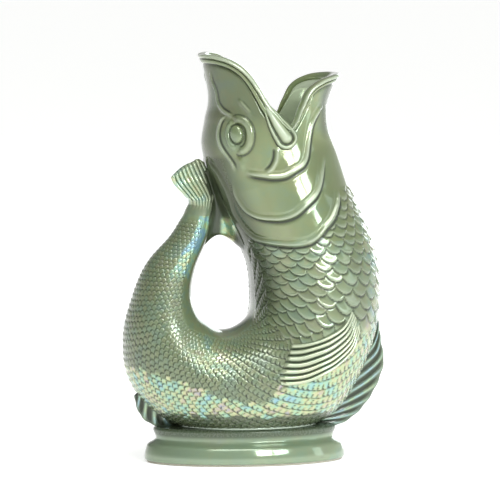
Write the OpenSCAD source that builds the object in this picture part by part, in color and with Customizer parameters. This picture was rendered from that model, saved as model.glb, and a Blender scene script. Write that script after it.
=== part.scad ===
/* [Fish] */
// Height of the fish from the underside of its belly to the tip of its upper jaw
fish_h = 236; // [215:1:255]
// Length of the fish from the bend of its tail to its breast
fish_l = 160; // [148:1:172]
// Depth of the fish from side to side at the belly
fish_d = 94; // [84:1:104]
// Thickness of the pottery wall
wall = 4.5; // [3:0.5:5.5]

/* [Foot] */
// Length of the foot where it stands
foot_l = 125; // [118:1:135]
// Depth of the foot from side to side
foot_d = 72; // [66:1:80]
// Height of the foot up to the bead under the belly
foot_h = 22; // [19:1:27]
// Depth that the belly dips into the foot
belly_dip = 8; // [6:0.5:10]
// How far the bulge of the foot stands out from its waist
foot_flare = 8.5; // [6:0.5:10]
// Height of the bare clay ring that the foot stands on
rim_h = 1.5; // [1:0.5:2.5]
// Width of the bare clay ring
rim_w = 7; // [5:0.5:9]

/* [Mouth] */
// Height of the rolled lip along the mouth
lip_h = 5.5; // [4:0.5:7]
// How far the lip rolls over outside the wall
lip_roll = 1.6; // [1:0.2:2.4]

/* [Gills and eyes] */
// Thickness of the gill cover at its edge
gill_t = 2.6; // [1.6:0.2:3.4]
// Thickness of the collar behind the gill cover
collar_t = 2; // [1.2:0.2:3]
// Height of the eye ring along the head
eye_h = 25; // [21:1:28]
// Width of the eye ring round the head
eye_w = 21; // [18:1:24]
// How far the eye ring stands out
eye_t = 2.6; // [1.6:0.2:3.4]
// Half width of the jaw plate at its round end
jaw_plate_r = 4.6; // [3.6:0.2:5.4]
// Thickness of the jaw plate
jaw_plate_t = 2.6; // [1.6:0.2:3.4]

/* [Fins] */
// Thickness of the pectoral fin
pectoral_t = 3; // [2:0.2:4]
// Number of rays in the pectoral fin
pectoral_rays = 8; // [5:1:9]
// How far the ventral fin stands out at its widest
ventral_fin_w = 15; // [10:1:18]
// Thickness of the ventral fin at its root
ventral_fin_t = 7; // [5:0.5:9]
// Number of rays in the ventral fin
ventral_rays = 8; // [5:1:10]
// How far the anal fin stands out at its widest
anal_fin_w = 8; // [6:0.5:10]
// Thickness of the anal fin at its root
anal_fin_t = 6; // [4:0.5:8]
// Number of rays in the anal fin
anal_rays = 4; // [3:1:6]
// Thickness of the tail fin at its outer edge
tail_fin_t = 6; // [4:0.5:8]
// Number of rays in the tail fin
tail_rays = 8; // [5:1:10]
// Height of the ribs of the rays
ray_h = 0.8; // [0.4:0.1:1.2]
// Thickness of the web that joins the tail to the nape
web_t = 10; // [6:1:12]

/* [Hidden] */
glaze = [0.56, 0.62, 0.50];
pale_glaze = [0.68, 0.76, 0.62];
dark_glaze = [0.38, 0.43, 0.32];
bare_clay = [0.86, 0.82, 0.73];

// Height of the underside of the belly above the standing plane
belly_z = foot_h - belly_dip;
// Clearance between a piece and the skin that carries it
seat_gap = 0.3;
// Fine step for slopes on the skin, in stations and in degrees
fine = 0.01;

// The fish is one run of oval sections, from the wrist of its tail at station 0
// round its belly to its open mouth. Each row holds the x and height of the
// dorsal line, those of the ventral line, and the half depth, as shares of
// fish_l, fish_h and fish_d.
body_shares = [
  [-0.119, 0.609, -0.217, 0.614, 0.096],
  [-0.146, 0.527, -0.281, 0.537, 0.128],
  [-0.193, 0.449, -0.380, 0.459, 0.176],
  [-0.209, 0.383, -0.437, 0.368, 0.234],
  [-0.187, 0.331, -0.470, 0.263, 0.293],
  [-0.144, 0.302, -0.439, 0.144, 0.362],
  [-0.094, 0.285, -0.287, 0.045, 0.426],
  [-0.039, 0.297, 0.002, 0.000, 0.468],
  [0.018, 0.323, 0.322, 0.055, 0.495],
  [0.025, 0.389, 0.482, 0.226, 0.500],
  [0.012, 0.454, 0.519, 0.381, 0.489],
  [-0.027, 0.515, 0.496, 0.504, 0.473],
  [-0.092, 0.601, 0.425, 0.625, 0.447],
  [-0.142, 0.696, 0.366, 0.743, 0.410],
  [-0.166, 0.767, 0.330, 0.806, 0.388],
  [-0.154, 0.832, 0.322, 0.856, 0.372],
  [-0.140, 0.895, 0.330, 0.898, 0.367],
  [-0.172, 1.011, 0.396, 1.000, 0.351]
];
// Stations where the tail, belly, breast and head meet
tail_end = 5;
belly_end = 9.6;
breast_end = 11.2;
// Station where the hollow of the tail ends
hollow_end = 0.8;
// Points round the body and round the head
body_sides = 40;
head_sides = 56;

// Places along the edge of the mouth, as [angle from the dorsal line, station],
// from the tip of the upper jaw past the corner to the tip of the lower jaw
mouth_edge = [
  [0, 16.94], [16, 16.96], [33, 16.95], [49, 16.85], [63, 16.60],
  [75.5, 16.14], [87, 15.50], [97, 14.83], [104, 14.5], [110, 14.9],
  [114, 15.62], [119, 16.18], [133, 16.44], [155, 16.54], [180, 16.56]
];
mouth_half = len(mouth_edge) - 1;
mouth_corner = 8;
// Height of the lip at the corner of the mouth, and how many places along the
// edge it takes to grow to its full height
lip_corner_share = 0.4;
lip_growth = 3;

function blend(a, b, f) = a + (b - a) * f;
function smooth(f) = f * f * (3 - 2 * f);

// A smooth curve through the rows of a list
function along(rows, s) =
  let (
    last = len(rows) - 1,
    i = max(0, min(last - 1, floor(s))),
    f = s - i,
    b = rows[i],
    c = rows[i + 1],
    a = i > 0 ? rows[i - 1] : 2 * b - c,
    d = i + 1 < last ? rows[i + 2] : 2 * c - b
  )
  b + f / 2 * (c - a + f * (2 * a - 5 * b + 4 * c - d + f * (3 * (b - c) + d - a)));

// The same curve with its rows spread evenly over a share from 0 to 1
function spread(rows, f) = along(rows, f * (len(rows) - 1));

// A point of the fish: station s, angle a from the dorsal line round the right
// side, and lift outwards from the skin
function skin(s, a, lift = 0) =
  let (
    row = along(body_shares, s),
    dorsal = [row[0] * fish_l, belly_z + row[1] * fish_h],
    ventral = [row[2] * fish_l, belly_z + row[3] * fish_h],
    half = (dorsal - ventral) / 2,
    place = (dorsal + ventral) / 2 + half * (1 + lift / norm(half)) * cos(a)
  )
  [place[0], -(row[4] * fish_d + lift) * sin(a), place[1]];

// Slopes of the skin at a place, per station and per degree
function slope_s(s, a) = (skin(s + fine, a) - skin(s - fine, a)) / (2 * fine);
function slope_a(s, a) = (skin(s, a + fine) - skin(s, a - fine)) / (2 * fine);

// A place on the skin moved by real lengths along the body and round it
function moved(s, a, run, round) =
  [s + run / norm(slope_s(s, a)), a + round / norm(slope_a(s, a))];

// Half the angle that a thickness t takes up astride the dorsal line
function half_angle(s, t) = asin(t / 2 / (along(body_shares, s)[4] * fish_d));

// A solid skin over rings of points. With hoop, the last ring joins the first;
// otherwise both ends are closed. side is -1 on the left, where y is turned.
module skin_over(rings, hoop = false, side = 1) {
  n = len(rings[0]);
  rows = len(rings);
  walls = [
    for (i = [0:rows - (hoop ? 1 : 2)])
      for (j = [0:n - 1])
        let (
          p = i * n + j,
          q = i * n + (j + 1) % n,
          r = ((i + 1) % rows) * n + (j + 1) % n,
          t = ((i + 1) % rows) * n + j
        )
        each [[p, t, r], [p, r, q]]
  ];
  top = (rows - 1) * n;
  ends = hoop ? [] : [
    for (i = [0:n / 2 - 2])
      each [
        [i, i + 1, n - 2 - i],
        [i, n - 2 - i, n - 1 - i],
        [top + n - 2 - i, top + i + 1, top + i],
        [top + n - 1 - i, top + n - 2 - i, top + i]
      ]
  ];
  faces = concat(walls, ends);
  polyhedron(
    points = [for (ring = rings) for (p = ring) [p[0], side * p[1], p[2]]],
    faces = side > 0 ? faces : [for (f = faces) [f[2], f[1], f[0]]]
  );
}

// Rings of the body between two stations
function body_ring(s, lift, n) = [for (j = [0:n - 1]) skin(s, 360 * j / n, lift)];
function body_rings(s0, s1, steps, lift, n) =
  [for (i = [0:steps]) body_ring(blend(s0, s1, i / steps), lift, n)];

// A stretch of the hollow body, open at both ends
module body_shell(s0, s1, steps) {
  skin_over(
    concat(
      body_rings(s0, s1, steps, 0, body_sides),
      body_rings(s1, s0, steps, -wall, body_sides)
    ),
    hoop = true
  );
}

/* Foot */

// Outline of the foot: how far it lies inside the bulge, as a share of
// foot_flare, and height, as a share of foot_h
foot_shares = [
  [0.10, 0], [0, 0.1], [0, 0.22], [0.12, 0.33], [0.42, 0.42], [0.72, 0.47],
  [0.93, 0.53], [1, 0.64], [1, 0.78], [0.93, 0.86], [0.66, 0.89],
  [0.58, 0.94], [0.70, 0.99], [0.95, 1]
];
foot_sides = 72;
// Length and depth of the recess under the belly, as shares of the foot's
recess_shares = [0.6, 0.58];

function oval(inset, z, lengthwise = foot_l / 2, across = foot_d / 2) = [
  for (j = [0:foot_sides - 1])
    let (a = 360 * j / foot_sides)
    [-(lengthwise - inset) * cos(a), -(across - inset) * sin(a), z]
];

module foot_blank() {
  skin_over([
    for (row = foot_shares) oval(row[0] * foot_flare, rim_h + row[1] * (foot_h - rim_h))
  ]);
}

module foot_recess() {
  skin_over([
    oval(rim_w, rim_h - seat_gap),
    oval(
      0, foot_h + seat_gap,
      foot_l / 2 * recess_shares[0], foot_d / 2 * recess_shares[1]
    )
  ]);
}

module foot() {
  color(glaze)
    resize([0, 0, 0])
      difference() {
        foot_blank();
        foot_recess();
        skin_over(body_rings(tail_end, belly_end, 14, seat_gap, body_sides));
      }
}

module foot_rim() {
  color(bare_clay)
    linear_extrude(height = rim_h)
      difference() {
        polygon([for (p = oval(foot_shares[0][0] * foot_flare, 0)) [p[0], p[1]]]);
        polygon([for (p = oval(rim_w, 0)) [p[0], p[1]]]);
      }
}

/* Body and tail */

module belly() {
  color(glaze) body_shell(tail_end, belly_end, 14);
}

module breast() {
  color(glaze) body_shell(belly_end, breast_end, 5);
}

module tail() {
  color(glaze)
    skin_over(
      concat(
        body_rings(0, tail_end, 15, 0, body_sides),
        body_rings(tail_end, hollow_end, 13, -wall, body_sides)
      )
    );
}

/* Tail fin and web */

// Front edge of the tail fin as [station on the nape, x share, height share,
// half thickness as a share of tail_fin_t]; the back edge follows the nape
tail_fin_shares = [
  [12.45, -0.240, 0.637, 1.15],
  [12.8, -0.260, 0.660, 0.85],
  [13.12, -0.283, 0.680, 0.62],
  [13.34, -0.290, 0.696, 0.5],
  [13.46, -0.272, 0.708, 0.3]
];
// How far the top edge of the tail fin bulges, as a share of fish_h
tail_fin_bulge_share = 0.012;
tail_fin_sides = 64;

// A section of the tail fin between its two edges, with ribs on both faces
function fin_section(row, bulge, rib) =
  let (
    nape = skin(row[0], 0, seat_gap),
    back = [nape[0], nape[2]],
    front = [row[1] * fish_l, belly_z + row[2] * fish_h],
    up = [front[1] - back[1], back[0] - front[0]] / norm(back - front)
  )
  [
    for (j = [0:tail_fin_sides - 1])
      let (
        a = 360 * (j + 0.5) / tail_fin_sides,
        place = blend(front, back, (1 + cos(a)) / 2) + up * bulge * fish_h * sin(a) ^ 2,
        ribs = rib * ray_h * cos(180 * tail_rays * (1 + cos(a)))
      )
      [place[0], -sign(sin(a)) * (row[3] * tail_fin_t * abs(sin(a)) ^ 0.5 + ribs * abs(sin(a))),
       place[1]]
  ];

module tail_fin() {
  rows = len(tail_fin_shares) - 1;
  root = [
    for (j = [0:tail_fin_sides - 1]) skin(0, 360 * (j + 0.5) / tail_fin_sides)
  ];
  color(pale_glaze)
    skin_over(
      concat(
        [
          for (i = [2 * rows:-1:0])
            let (f = i / (2 * rows))
            fin_section(spread(tail_fin_shares, f), tail_fin_bulge_share * f, sin(90 * f))
        ],
        [root]
      )
    );
}

// Stations on the tail and on the nape that the web spans, from its top down
web_tail = [0.14, 1.12];
web_nape = [12.26, 10.92];

module tail_web() {
  steps = 12;
  color(dark_glaze)
    skin_over([
      for (i = [steps:-1:0])
        let (
          f = i / steps,
          st = blend(web_tail[0], web_tail[1], f),
          sn = blend(web_nape[0], web_nape[1], f),
          at = half_angle(st, web_t),
          an = half_angle(sn, web_t)
        )
        [
          skin(st, 0, seat_gap), skin(st, at, seat_gap), skin(sn, an, seat_gap),
          skin(sn, 0, seat_gap), skin(sn, -an, seat_gap), skin(st, -at, seat_gap)
        ]
    ]);
}

/* Head and mouth */

// Place on the mouth's edge at a number k that runs from the tip of the upper
// jaw round the right side; f runs from the wall's top (0) up to the edge (1)
function lip_place(k, f) =
  let (
    whole = 2 * mouth_half,
    far = k < 0 || k > mouth_half,
    t = k < 0 ? -k : k > mouth_half ? whole - k : k,
    place = along(mouth_edge, t),
    a = place[0],
    s = place[1],
    before = along(mouth_edge, t - fine),
    after = along(mouth_edge, t + fine),
    ran = skin(after[1], after[0]) - skin(before[1], before[0]),
    run = ran / norm(ran),
    gs = slope_s(s, a),
    ga = slope_a(s, a),
    rise = gs - (gs * run) * run,
    grown = smooth(min(1, abs(t - mouth_corner) / lip_growth)),
    up = rise / norm(rise) * lip_h * blend(lip_corner_share, 1, grown) * (f - 1),
    place_s = s + (up * gs) / (gs * gs),
    place_a = a + (up * ga) / (ga * ga)
  )
  [place_s, far ? 360 - place_a : place_a];

// A point of the head's wall: column k of the mouth's edge, share f of its height
function head_point(k, f, lift) =
  let (
    top = lip_place(k, 0),
    base_a = 180 * k / mouth_half
  )
  skin(blend(breast_end, top[0], f), blend(base_a, top[1], f * f), lift);

function head_rings(from, to, steps, lift) = [
  for (i = [0:steps])
    [
      for (j = [0:head_sides - 1])
        head_point(2 * mouth_half * j / head_sides, blend(from, to, i / steps), lift)
    ]
];

module head() {
  color(glaze)
    skin_over(concat(head_rings(0, 1, 14, 0), head_rings(1, 0, 14, -wall)), hoop = true);
}

// Section of the rolled lip, as shares of lip_h up, and a lift out of the wall
lip_section = [
  [0, 0], [0.15, lip_roll], [0.55, lip_roll * 1.15], [0.9, lip_roll * 0.5],
  [1, -wall * 0.35], [0.92, -wall * 0.85], [0.5, -wall * 1.15], [0, -wall]
];

module lip(k0, k1) {
  steps = (k1 - k0) * head_sides / (2 * mouth_half);
  color(glaze)
    skin_over([
      for (i = [steps:-1:0])
        let (k = blend(k0, k1, i / steps))
        [
          for (row = lip_section)
            let (place = lip_place(k, row[0]))
            skin(place[0], place[1], row[1])
        ]
    ]);
}

module upper_lip() {
  lip(-mouth_corner, mouth_corner);
}

module lower_lip() {
  lip(mouth_corner, 2 * mouth_half - mouth_corner);
}

/* Plates on the head */

// Section of a raised plate across its width: share of the width, and share of
// the thickness
plate_section = [[0, 0.55], [0.1, 1], [0.45, 0.9], [0.8, 0.6], [1, 0.4]];

// A plate between two edges on the skin. Each row of edges is [station, angle]
// on the thick edge and then on the thin one.
module plate(edges, t, steps, side) {
  skin_over(
    [
      for (i = [0:steps])
        let (row = spread(edges, i / steps))
        concat(
          [
            for (p = plate_section)
              skin(blend(row[0], row[2], p[0]), blend(row[1], row[3], p[0]), seat_gap)
          ],
          [
            for (m = [len(plate_section) - 1:-1:0])
              let (p = plate_section[m])
              skin(
                blend(row[0], row[2], p[0]), blend(row[1], row[3], p[0]),
                seat_gap + p[1] * t
              )
          ]
        )
    ],
    side = side
  );
}

collar_edges = [
  [13.3, 20, 12.98, 35], [12.2, 29, 12.48, 40], [11.5, 36, 12.05, 45],
  [11.14, 50, 11.86, 60], [11.1, 69, 11.84, 79], [11.24, 88, 12.02, 96],
  [11.5, 105, 12.3, 112], [11.85, 123, 12.85, 129], [12.34, 139, 13.3, 144]
];
gill_edges = [
  [13.05, 37, 13.3, 48], [12.45, 42, 13.0, 53], [12.1, 47, 12.85, 61],
  [11.9, 61, 12.75, 71], [11.88, 79, 12.74, 84], [12.06, 96, 12.85, 98],
  [12.36, 111, 13.1, 109], [12.95, 128, 13.9, 119], [13.4, 141, 14.7, 129]
];

module collar(side) {
  color(glaze) plate(collar_edges, collar_t, 20, side);
}

module gill_cover(side) {
  color(pale_glaze) plate(gill_edges, gill_t, 20, side);
}

// Middle line of the jaw plate as [station, angle], from its point to its round
// end, and half widths there as shares of jaw_plate_r
jaw_plate_line = [[15.25, 75], [14.72, 82], [14.25, 90], [13.95, 96], [13.85, 98.5]];
jaw_plate_shares = [0.25, 0.5, 0.85, 1, 0.45];

module jaw_plate(side) {
  steps = 12;
  sides = 12;
  color(glaze)
    skin_over(
      [
        for (i = [0:steps])
          let (
            f = i / steps,
            here = spread(jaw_plate_line, f),
            r = spread(jaw_plate_shares, f) * jaw_plate_r
          )
          [
            for (j = [0:sides - 1])
              let (
                a = 360 * (j + 0.5) / sides,
                place = moved(here[0], here[1], -r * cos(a), -r * cos(a))
              )
              skin(place[0], place[1], seat_gap + (sin(a) > 0 ? 0 : -sin(a) * jaw_plate_t))
          ]
      ],
      side = side
    );
}

// Place of the eye on the head
eye_s = 14.37;
eye_a = 55;
// Section of the eye ring: share of the radius, and share of eye_t
ring_shares = [[0.55, 0], [0.8, 0], [1, 0], [0.98, 0.5], [0.78, 1], [0.57, 0.5]];
// Rings of the eyeball: share of the radius, and share of eye_t
ball_shares = [[0.1, 0], [0.5, 0], [0.5, 0.25], [0.42, 0.75], [0.28, 1.1], [0.12, 1.25]];
eye_sides = 24;

function eye_point(turn, row) =
  let (place = moved(eye_s, eye_a, eye_h / 2 * row[0] * cos(turn), eye_w / 2 * row[0] * sin(turn)))
  skin(place[0], place[1], seat_gap + row[1] * eye_t);

module eye_ring(side) {
  color(glaze)
    skin_over(
      [
        for (j = [0:eye_sides - 1])
          [for (row = ring_shares) eye_point(360 * j / eye_sides, row)]
      ],
      hoop = true,
      side = side
    );
}

module eyeball(side) {
  color(dark_glaze)
    skin_over(
      [
        for (row = ball_shares)
          [for (j = [0:eye_sides - 1]) eye_point(-360 * j / eye_sides, row)]
      ],
      side = side
    );
}

/* Fins on the body */

// Pectoral fin: [station, angle] along its upper and its lower edge, root first
pectoral_upper = [[9.3, 108], [8.91, 96], [8.62, 82], [8.43, 71]];
pectoral_lower = [[9.05, 117], [8.8, 113], [8.3, 104], [7.72, 95]];
// How far the tips of the middle rays reach past a straight edge, as a share
pectoral_tip_share = 0.12;

module pectoral_fin(side) {
  along_steps = 8;
  across_steps = 4 * pectoral_rays;
  color(pale_glaze)
    skin_over(
      [
        for (i = [0:along_steps])
          let (f = i / along_steps)
          concat(
            [for (j = [0:across_steps]) pectoral_point(f, j / across_steps, false)],
            [for (j = [across_steps:-1:0]) pectoral_point(f, j / across_steps, true)]
          )
      ],
      side = side
    );
}

function pectoral_point(f, g, outer) =
  let (
    reach = f * (1 + pectoral_tip_share * sin(180 * g)),
    upper = spread(pectoral_upper, reach),
    lower = spread(pectoral_lower, reach),
    place = blend(upper, lower, g),
    body = blend(0.55, 1, sin(180 * g) ^ 0.5) * blend(0.75, 1, sin(150 * f)),
    ribs = ray_h * sin(90 * f) * abs(sin(180 * pectoral_rays * g))
  )
  skin(place[0], place[1], seat_gap + (outer ? body * (pectoral_t - ray_h) + ribs : 0));

// A fin in the middle plane on the ventral line: stations at its two ends, its
// width, shares of that width from one end to the other, its root thickness,
// its rays, and how far they slant, as a share of its length
module middle_fin(s0, s1, w, width_shares, t, rays, slant_share) {
  steps = 6 * rays;
  levels = 4;
  color(pale_glaze)
    skin_over([
      for (i = [0:steps])
        let (f = i / steps, s = blend(s0, s1, f), reach = w * spread(width_shares, f))
        [
          for (m = [-levels:levels])
            each fin_pair(s, f, m / levels, reach, t, rays, slant_share)
        ]
    ]);
}

function fin_pair(s, f, m, reach, t, rays, slant_share) =
  let (
    g = 1 - abs(m),
    rib = ray_h * sin(180 * g) * cos(360 * (rays * f + slant_share * rays * g)),
    y = sign(m) * (t / 2 * blend(1, 0.45, g) + rib),
    out = skin(s, 180, seat_gap + g * reach)
  )
  m == 0 ? [[out[0], t * 0.2, out[2]], [out[0], -t * 0.2, out[2]]] : [[out[0], -y, out[2]]];

module ventral_fin() {
  middle_fin(
    9.65, 7.96, ventral_fin_w, [0.06, 0.18, 0.45, 0.84, 0.96, 0.94, 0.82, 0.58, 0.2],
    ventral_fin_t, ventral_rays, 0.12
  );
}

module anal_fin() {
  middle_fin(
    5.88, 5.15, anal_fin_w, [0.3, 0.85, 1, 0.75, 0.25], anal_fin_t, anal_rays, 0.1
  );
}

foot();
foot_rim();
belly();
breast();
tail();
tail_fin();
tail_web();
head();
upper_lip();
lower_lip();
collar(1);  // collar_right
collar(-1);  // collar_left
gill_cover(1);  // gill_cover_right
gill_cover(-1);  // gill_cover_left
jaw_plate(1);  // jaw_plate_right
jaw_plate(-1);  // jaw_plate_left
eye_ring(1);  // eye_ring_right
eye_ring(-1);  // eye_ring_left
eyeball(1);  // eyeball_right
eyeball(-1);  // eyeball_left
pectoral_fin(1);  // pectoral_fin_right
pectoral_fin(-1);  // pectoral_fin_left
ventral_fin();
anal_fin();
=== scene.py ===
import functools
import math
import bpy
import numpy as np
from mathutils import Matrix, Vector

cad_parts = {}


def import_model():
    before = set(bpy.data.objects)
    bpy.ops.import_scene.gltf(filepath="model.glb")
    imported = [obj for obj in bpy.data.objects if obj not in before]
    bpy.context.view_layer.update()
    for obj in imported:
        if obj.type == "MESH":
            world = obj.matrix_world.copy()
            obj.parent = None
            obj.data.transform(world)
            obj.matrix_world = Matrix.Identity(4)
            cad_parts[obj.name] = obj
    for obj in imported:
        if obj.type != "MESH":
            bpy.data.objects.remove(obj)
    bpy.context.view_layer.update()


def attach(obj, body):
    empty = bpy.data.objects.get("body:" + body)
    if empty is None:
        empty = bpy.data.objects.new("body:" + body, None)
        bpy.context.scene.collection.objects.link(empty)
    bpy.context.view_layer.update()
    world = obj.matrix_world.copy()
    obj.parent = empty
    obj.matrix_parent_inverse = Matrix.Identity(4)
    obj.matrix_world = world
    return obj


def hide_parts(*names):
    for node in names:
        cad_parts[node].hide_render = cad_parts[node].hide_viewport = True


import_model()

MM = 0.001

# The fish's skin, the same run of oval sections as in the part's source. A station s runs from the
# end of the tail to the mouth, and an angle a goes round the body in degrees, from the dorsal line
# over the right side to the ventral line at 180. Lengths are in millimetres; meshes are in metres.
FISH_H = 236.0
FISH_L = 160.0
FISH_D = 94.0
WALL = 4.5
BELLY_Z = 14.0
# Of each station: dorsal x and height, ventral x and height, and half width, as shares of the
# fish's length, height and depth
BODY_SHARES = np.array([
    [-0.119, 0.609, -0.217, 0.614, 0.096],
    [-0.146, 0.527, -0.281, 0.537, 0.128],
    [-0.193, 0.449, -0.380, 0.459, 0.176],
    [-0.209, 0.383, -0.437, 0.368, 0.234],
    [-0.187, 0.331, -0.470, 0.263, 0.293],
    [-0.144, 0.302, -0.439, 0.144, 0.362],
    [-0.094, 0.285, -0.287, 0.045, 0.426],
    [-0.039, 0.297, 0.002, 0.000, 0.468],
    [0.018, 0.323, 0.322, 0.055, 0.495],
    [0.025, 0.389, 0.482, 0.226, 0.500],
    [0.012, 0.454, 0.519, 0.381, 0.489],
    [-0.027, 0.515, 0.496, 0.504, 0.473],
    [-0.092, 0.601, 0.425, 0.625, 0.447],
    [-0.142, 0.696, 0.366, 0.743, 0.410],
    [-0.166, 0.767, 0.330, 0.806, 0.388],
    [-0.154, 0.832, 0.322, 0.856, 0.372],
    [-0.140, 0.895, 0.330, 0.898, 0.367],
    [-0.172, 1.011, 0.396, 1.000, 0.351],
])
TAIL_END, BELLY_END, BREAST_END, HOLLOW_END = 5.0, 9.6, 11.2, 0.8
# The edge of the mouth from the snout to the chin, as [angle, station]
MOUTH_EDGE = np.array([
    [0, 16.94], [16, 16.96], [33, 16.95], [49, 16.85], [63, 16.60],
    [75.5, 16.14], [87, 15.50], [97, 14.83], [104, 14.5], [110, 14.9],
    [114, 15.62], [119, 16.18], [133, 16.44], [155, 16.54], [180, 16.56],
])
MOUTH_HALF = len(MOUTH_EDGE) - 1
MOUTH_CORNER = 8
# The lip's height, its share at the mouth's corner, and the rows over which it grows from there
LIP_H = 5.5
LIP_CORNER_SHARE = 0.4
LIP_GROWTH = 3.0
# The step over which slopes are measured
SMALL_STEP = 0.01


def along(rows, s):
    """The smooth curve through rows, at places s from 0 to the last row."""
    rows = np.asarray(rows, float)
    s = np.asarray(s, float)
    i = np.clip(np.floor(s).astype(int), 0, len(rows) - 2)
    f = (s - i)[..., None]
    more = np.vstack([2 * rows[0] - rows[1], rows, 2 * rows[-1] - rows[-2]])
    a, b, c, d = more[i], more[i + 1], more[i + 2], more[i + 3]
    return b + f / 2 * (c - a + f * (2 * a - 5 * b + 4 * c - d + f * (3 * (b - c) + d - a)))


def spread(rows, f):
    """The same curve with its rows spread evenly over 0 to 1."""
    return along(rows, np.asarray(f, float) * (len(rows) - 1))


def smooth(f):
    """A soft step, from 0 at 0 to 1 at 1."""
    f = np.clip(f, 0, 1)
    return f * f * (3 - 2 * f)


def rises(x, start, width):
    """0 up to the start, and a soft step up to 1 over the width after it."""
    return smooth((x - start) / width)


def falls(x, end, width):
    """1 at first, and a soft step down to 0 over the width before the end."""
    return smooth((end - x) / width)


def hump(x, middle, width):
    """1 in the middle, dying away over about the width on each side."""
    return np.exp(-((x - middle) / width) ** 2)


def strongest(*masks):
    """The highest of several masks at each place."""
    return functools.reduce(np.maximum, masks)


def fold_over(a):
    """The angle of the same place on the right side of the fish."""
    return np.where(a > 180, 360 - a, a)


def blend(a, b, f):
    return a + (b - a) * f


def skin(s, a, lift=0.0):
    """The point at station s and angle a, lifted off the skin."""
    s, a, lift = np.broadcast_arrays(*(np.asarray(value, float) for value in (s, a, lift)))
    row = along(BODY_SHARES, s)
    dorsal = np.stack([row[..., 0] * FISH_L, BELLY_Z + row[..., 1] * FISH_H], -1)
    ventral = np.stack([row[..., 2] * FISH_L, BELLY_Z + row[..., 3] * FISH_H], -1)
    half = (dorsal - ventral) / 2
    turn = np.radians(a)
    grown = 1 + lift / np.linalg.norm(half, axis=-1)
    place = (dorsal + ventral) / 2 + half * (grown * np.cos(turn))[..., None]
    depth = row[..., 4] * FISH_D + lift
    return np.stack([place[..., 0], -depth * np.sin(turn), place[..., 1]], -1)


def slopes(s, a):
    """How a point of the skin moves per station and per degree."""
    along_body = (skin(s + SMALL_STEP, a) - skin(s - SMALL_STEP, a)) / (2 * SMALL_STEP)
    round_body = (skin(s, a + SMALL_STEP) - skin(s, a - SMALL_STEP)) / (2 * SMALL_STEP)
    return along_body, round_body


def unit(v):
    return v / np.maximum(np.linalg.norm(v, axis=-1, keepdims=True), 1e-9)


def outward(s, a):
    """The direction straight out of the skin."""
    along_body, round_body = slopes(s, a)
    return unit(np.cross(round_body, along_body))


def lip_place(k, f):
    """Station and angle on the mouth's edge at place k, at share f of the lip's height."""
    k = np.asarray(k, float)
    whole = 2 * MOUTH_HALF
    far = (k < 0) | (k > MOUTH_HALF)
    t = np.where(k < 0, -k, np.where(k > MOUTH_HALF, whole - k, k))
    place, before, after = (along(MOUTH_EDGE, t + step) for step in (0, -SMALL_STEP, SMALL_STEP))
    a, s = place[..., 0], place[..., 1]
    run = unit(skin(after[..., 1], after[..., 0]) - skin(before[..., 1], before[..., 0]))
    by_s, by_a = slopes(s, a)
    rise = by_s - (by_s * run).sum(-1, keepdims=True) * run
    grown = smooth(np.abs(t - MOUTH_CORNER) / LIP_GROWTH)
    tall = LIP_H * blend(LIP_CORNER_SHARE, 1, grown) * (f - 1)
    up = unit(rise) * tall[..., None]
    s = s + (up * by_s).sum(-1) / (by_s * by_s).sum(-1)
    a = a + (up * by_a).sum(-1) / (by_a * by_a).sum(-1)
    return s, np.where(far, 360 - a, a)


def head_place(k, f):
    """Station and angle of the head's wall, column k of the mouth's edge, share f of its height."""
    s, a = lip_place(k, 0)
    return blend(BREAST_END, s, f), blend(180 * k / MOUTH_HALF, a, f * f)


# Relief is drawn as curves in the side view, as points of a square picture, and lies on the skin
# where the eye sees it. The azimuth is 0 for an eye on the fish's right side.
PICTURE = 500
CAMERA_AZIMUTH, CAMERA_ELEVATION = -10.0, 6.0
CAMERA_DISTANCE = 4000.0
CAMERA_TARGET = np.array([3.4, 0.0, 129.8])
# Millimetres to a pixel at the target
PIXEL = 0.615


def camera_axes():
    """Directions from the target to the camera, to its right and up."""
    a, e = math.radians(CAMERA_AZIMUTH), math.radians(CAMERA_ELEVATION)
    back = np.array([math.sin(a) * math.cos(e), -math.cos(a) * math.cos(e), math.sin(e)])
    right = unit(np.cross(-back, [0, 0, 1.0]))
    return back, right, np.cross(right, -back)


def in_picture(points):
    """Where points show in the picture, in pixels across and down."""
    back, right, up = camera_axes()
    d = points - (CAMERA_TARGET + back * CAMERA_DISTANCE)
    depth = -(d @ back)
    k = CAMERA_DISTANCE / PIXEL
    return np.stack([PICTURE / 2 + k * (d @ right) / depth, PICTURE / 2 - k * (d @ up) / depth], -1)


GRID_S, GRID_A = np.meshgrid(np.arange(0, 17.4, 0.02), np.arange(2, 179, 0.75), indexing="ij")
GRID_SEEN = in_picture(skin(GRID_S, GRID_A))
GRID_FACING = (outward(GRID_S, GRID_A) @ camera_axes()[0]) > 0


def nearer(rows, points):
    """The same rows after a few straight-line steps towards their picture points."""
    for _ in range(4):
        seen = in_picture(skin(rows[:, 0], rows[:, 1]))
        by_s = (in_picture(skin(rows[:, 0] + SMALL_STEP, rows[:, 1])) - seen) / SMALL_STEP
        by_a = (in_picture(skin(rows[:, 0], rows[:, 1] + SMALL_STEP)) - seen) / SMALL_STEP
        miss = points - seen
        area = by_s[:, 0] * by_a[:, 1] - by_s[:, 1] * by_a[:, 0]
        area = np.where(np.abs(area) < 0.2, 1e9, area)
        step = np.stack([miss[:, 0] * by_a[:, 1] - miss[:, 1] * by_a[:, 0],
                         by_s[:, 0] * miss[:, 1] - by_s[:, 1] * miss[:, 0]], -1) / area[:, None]
        rows = rows + np.clip(step, [-0.03, -1.5], [0.03, 1.5])
    return rows


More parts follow.
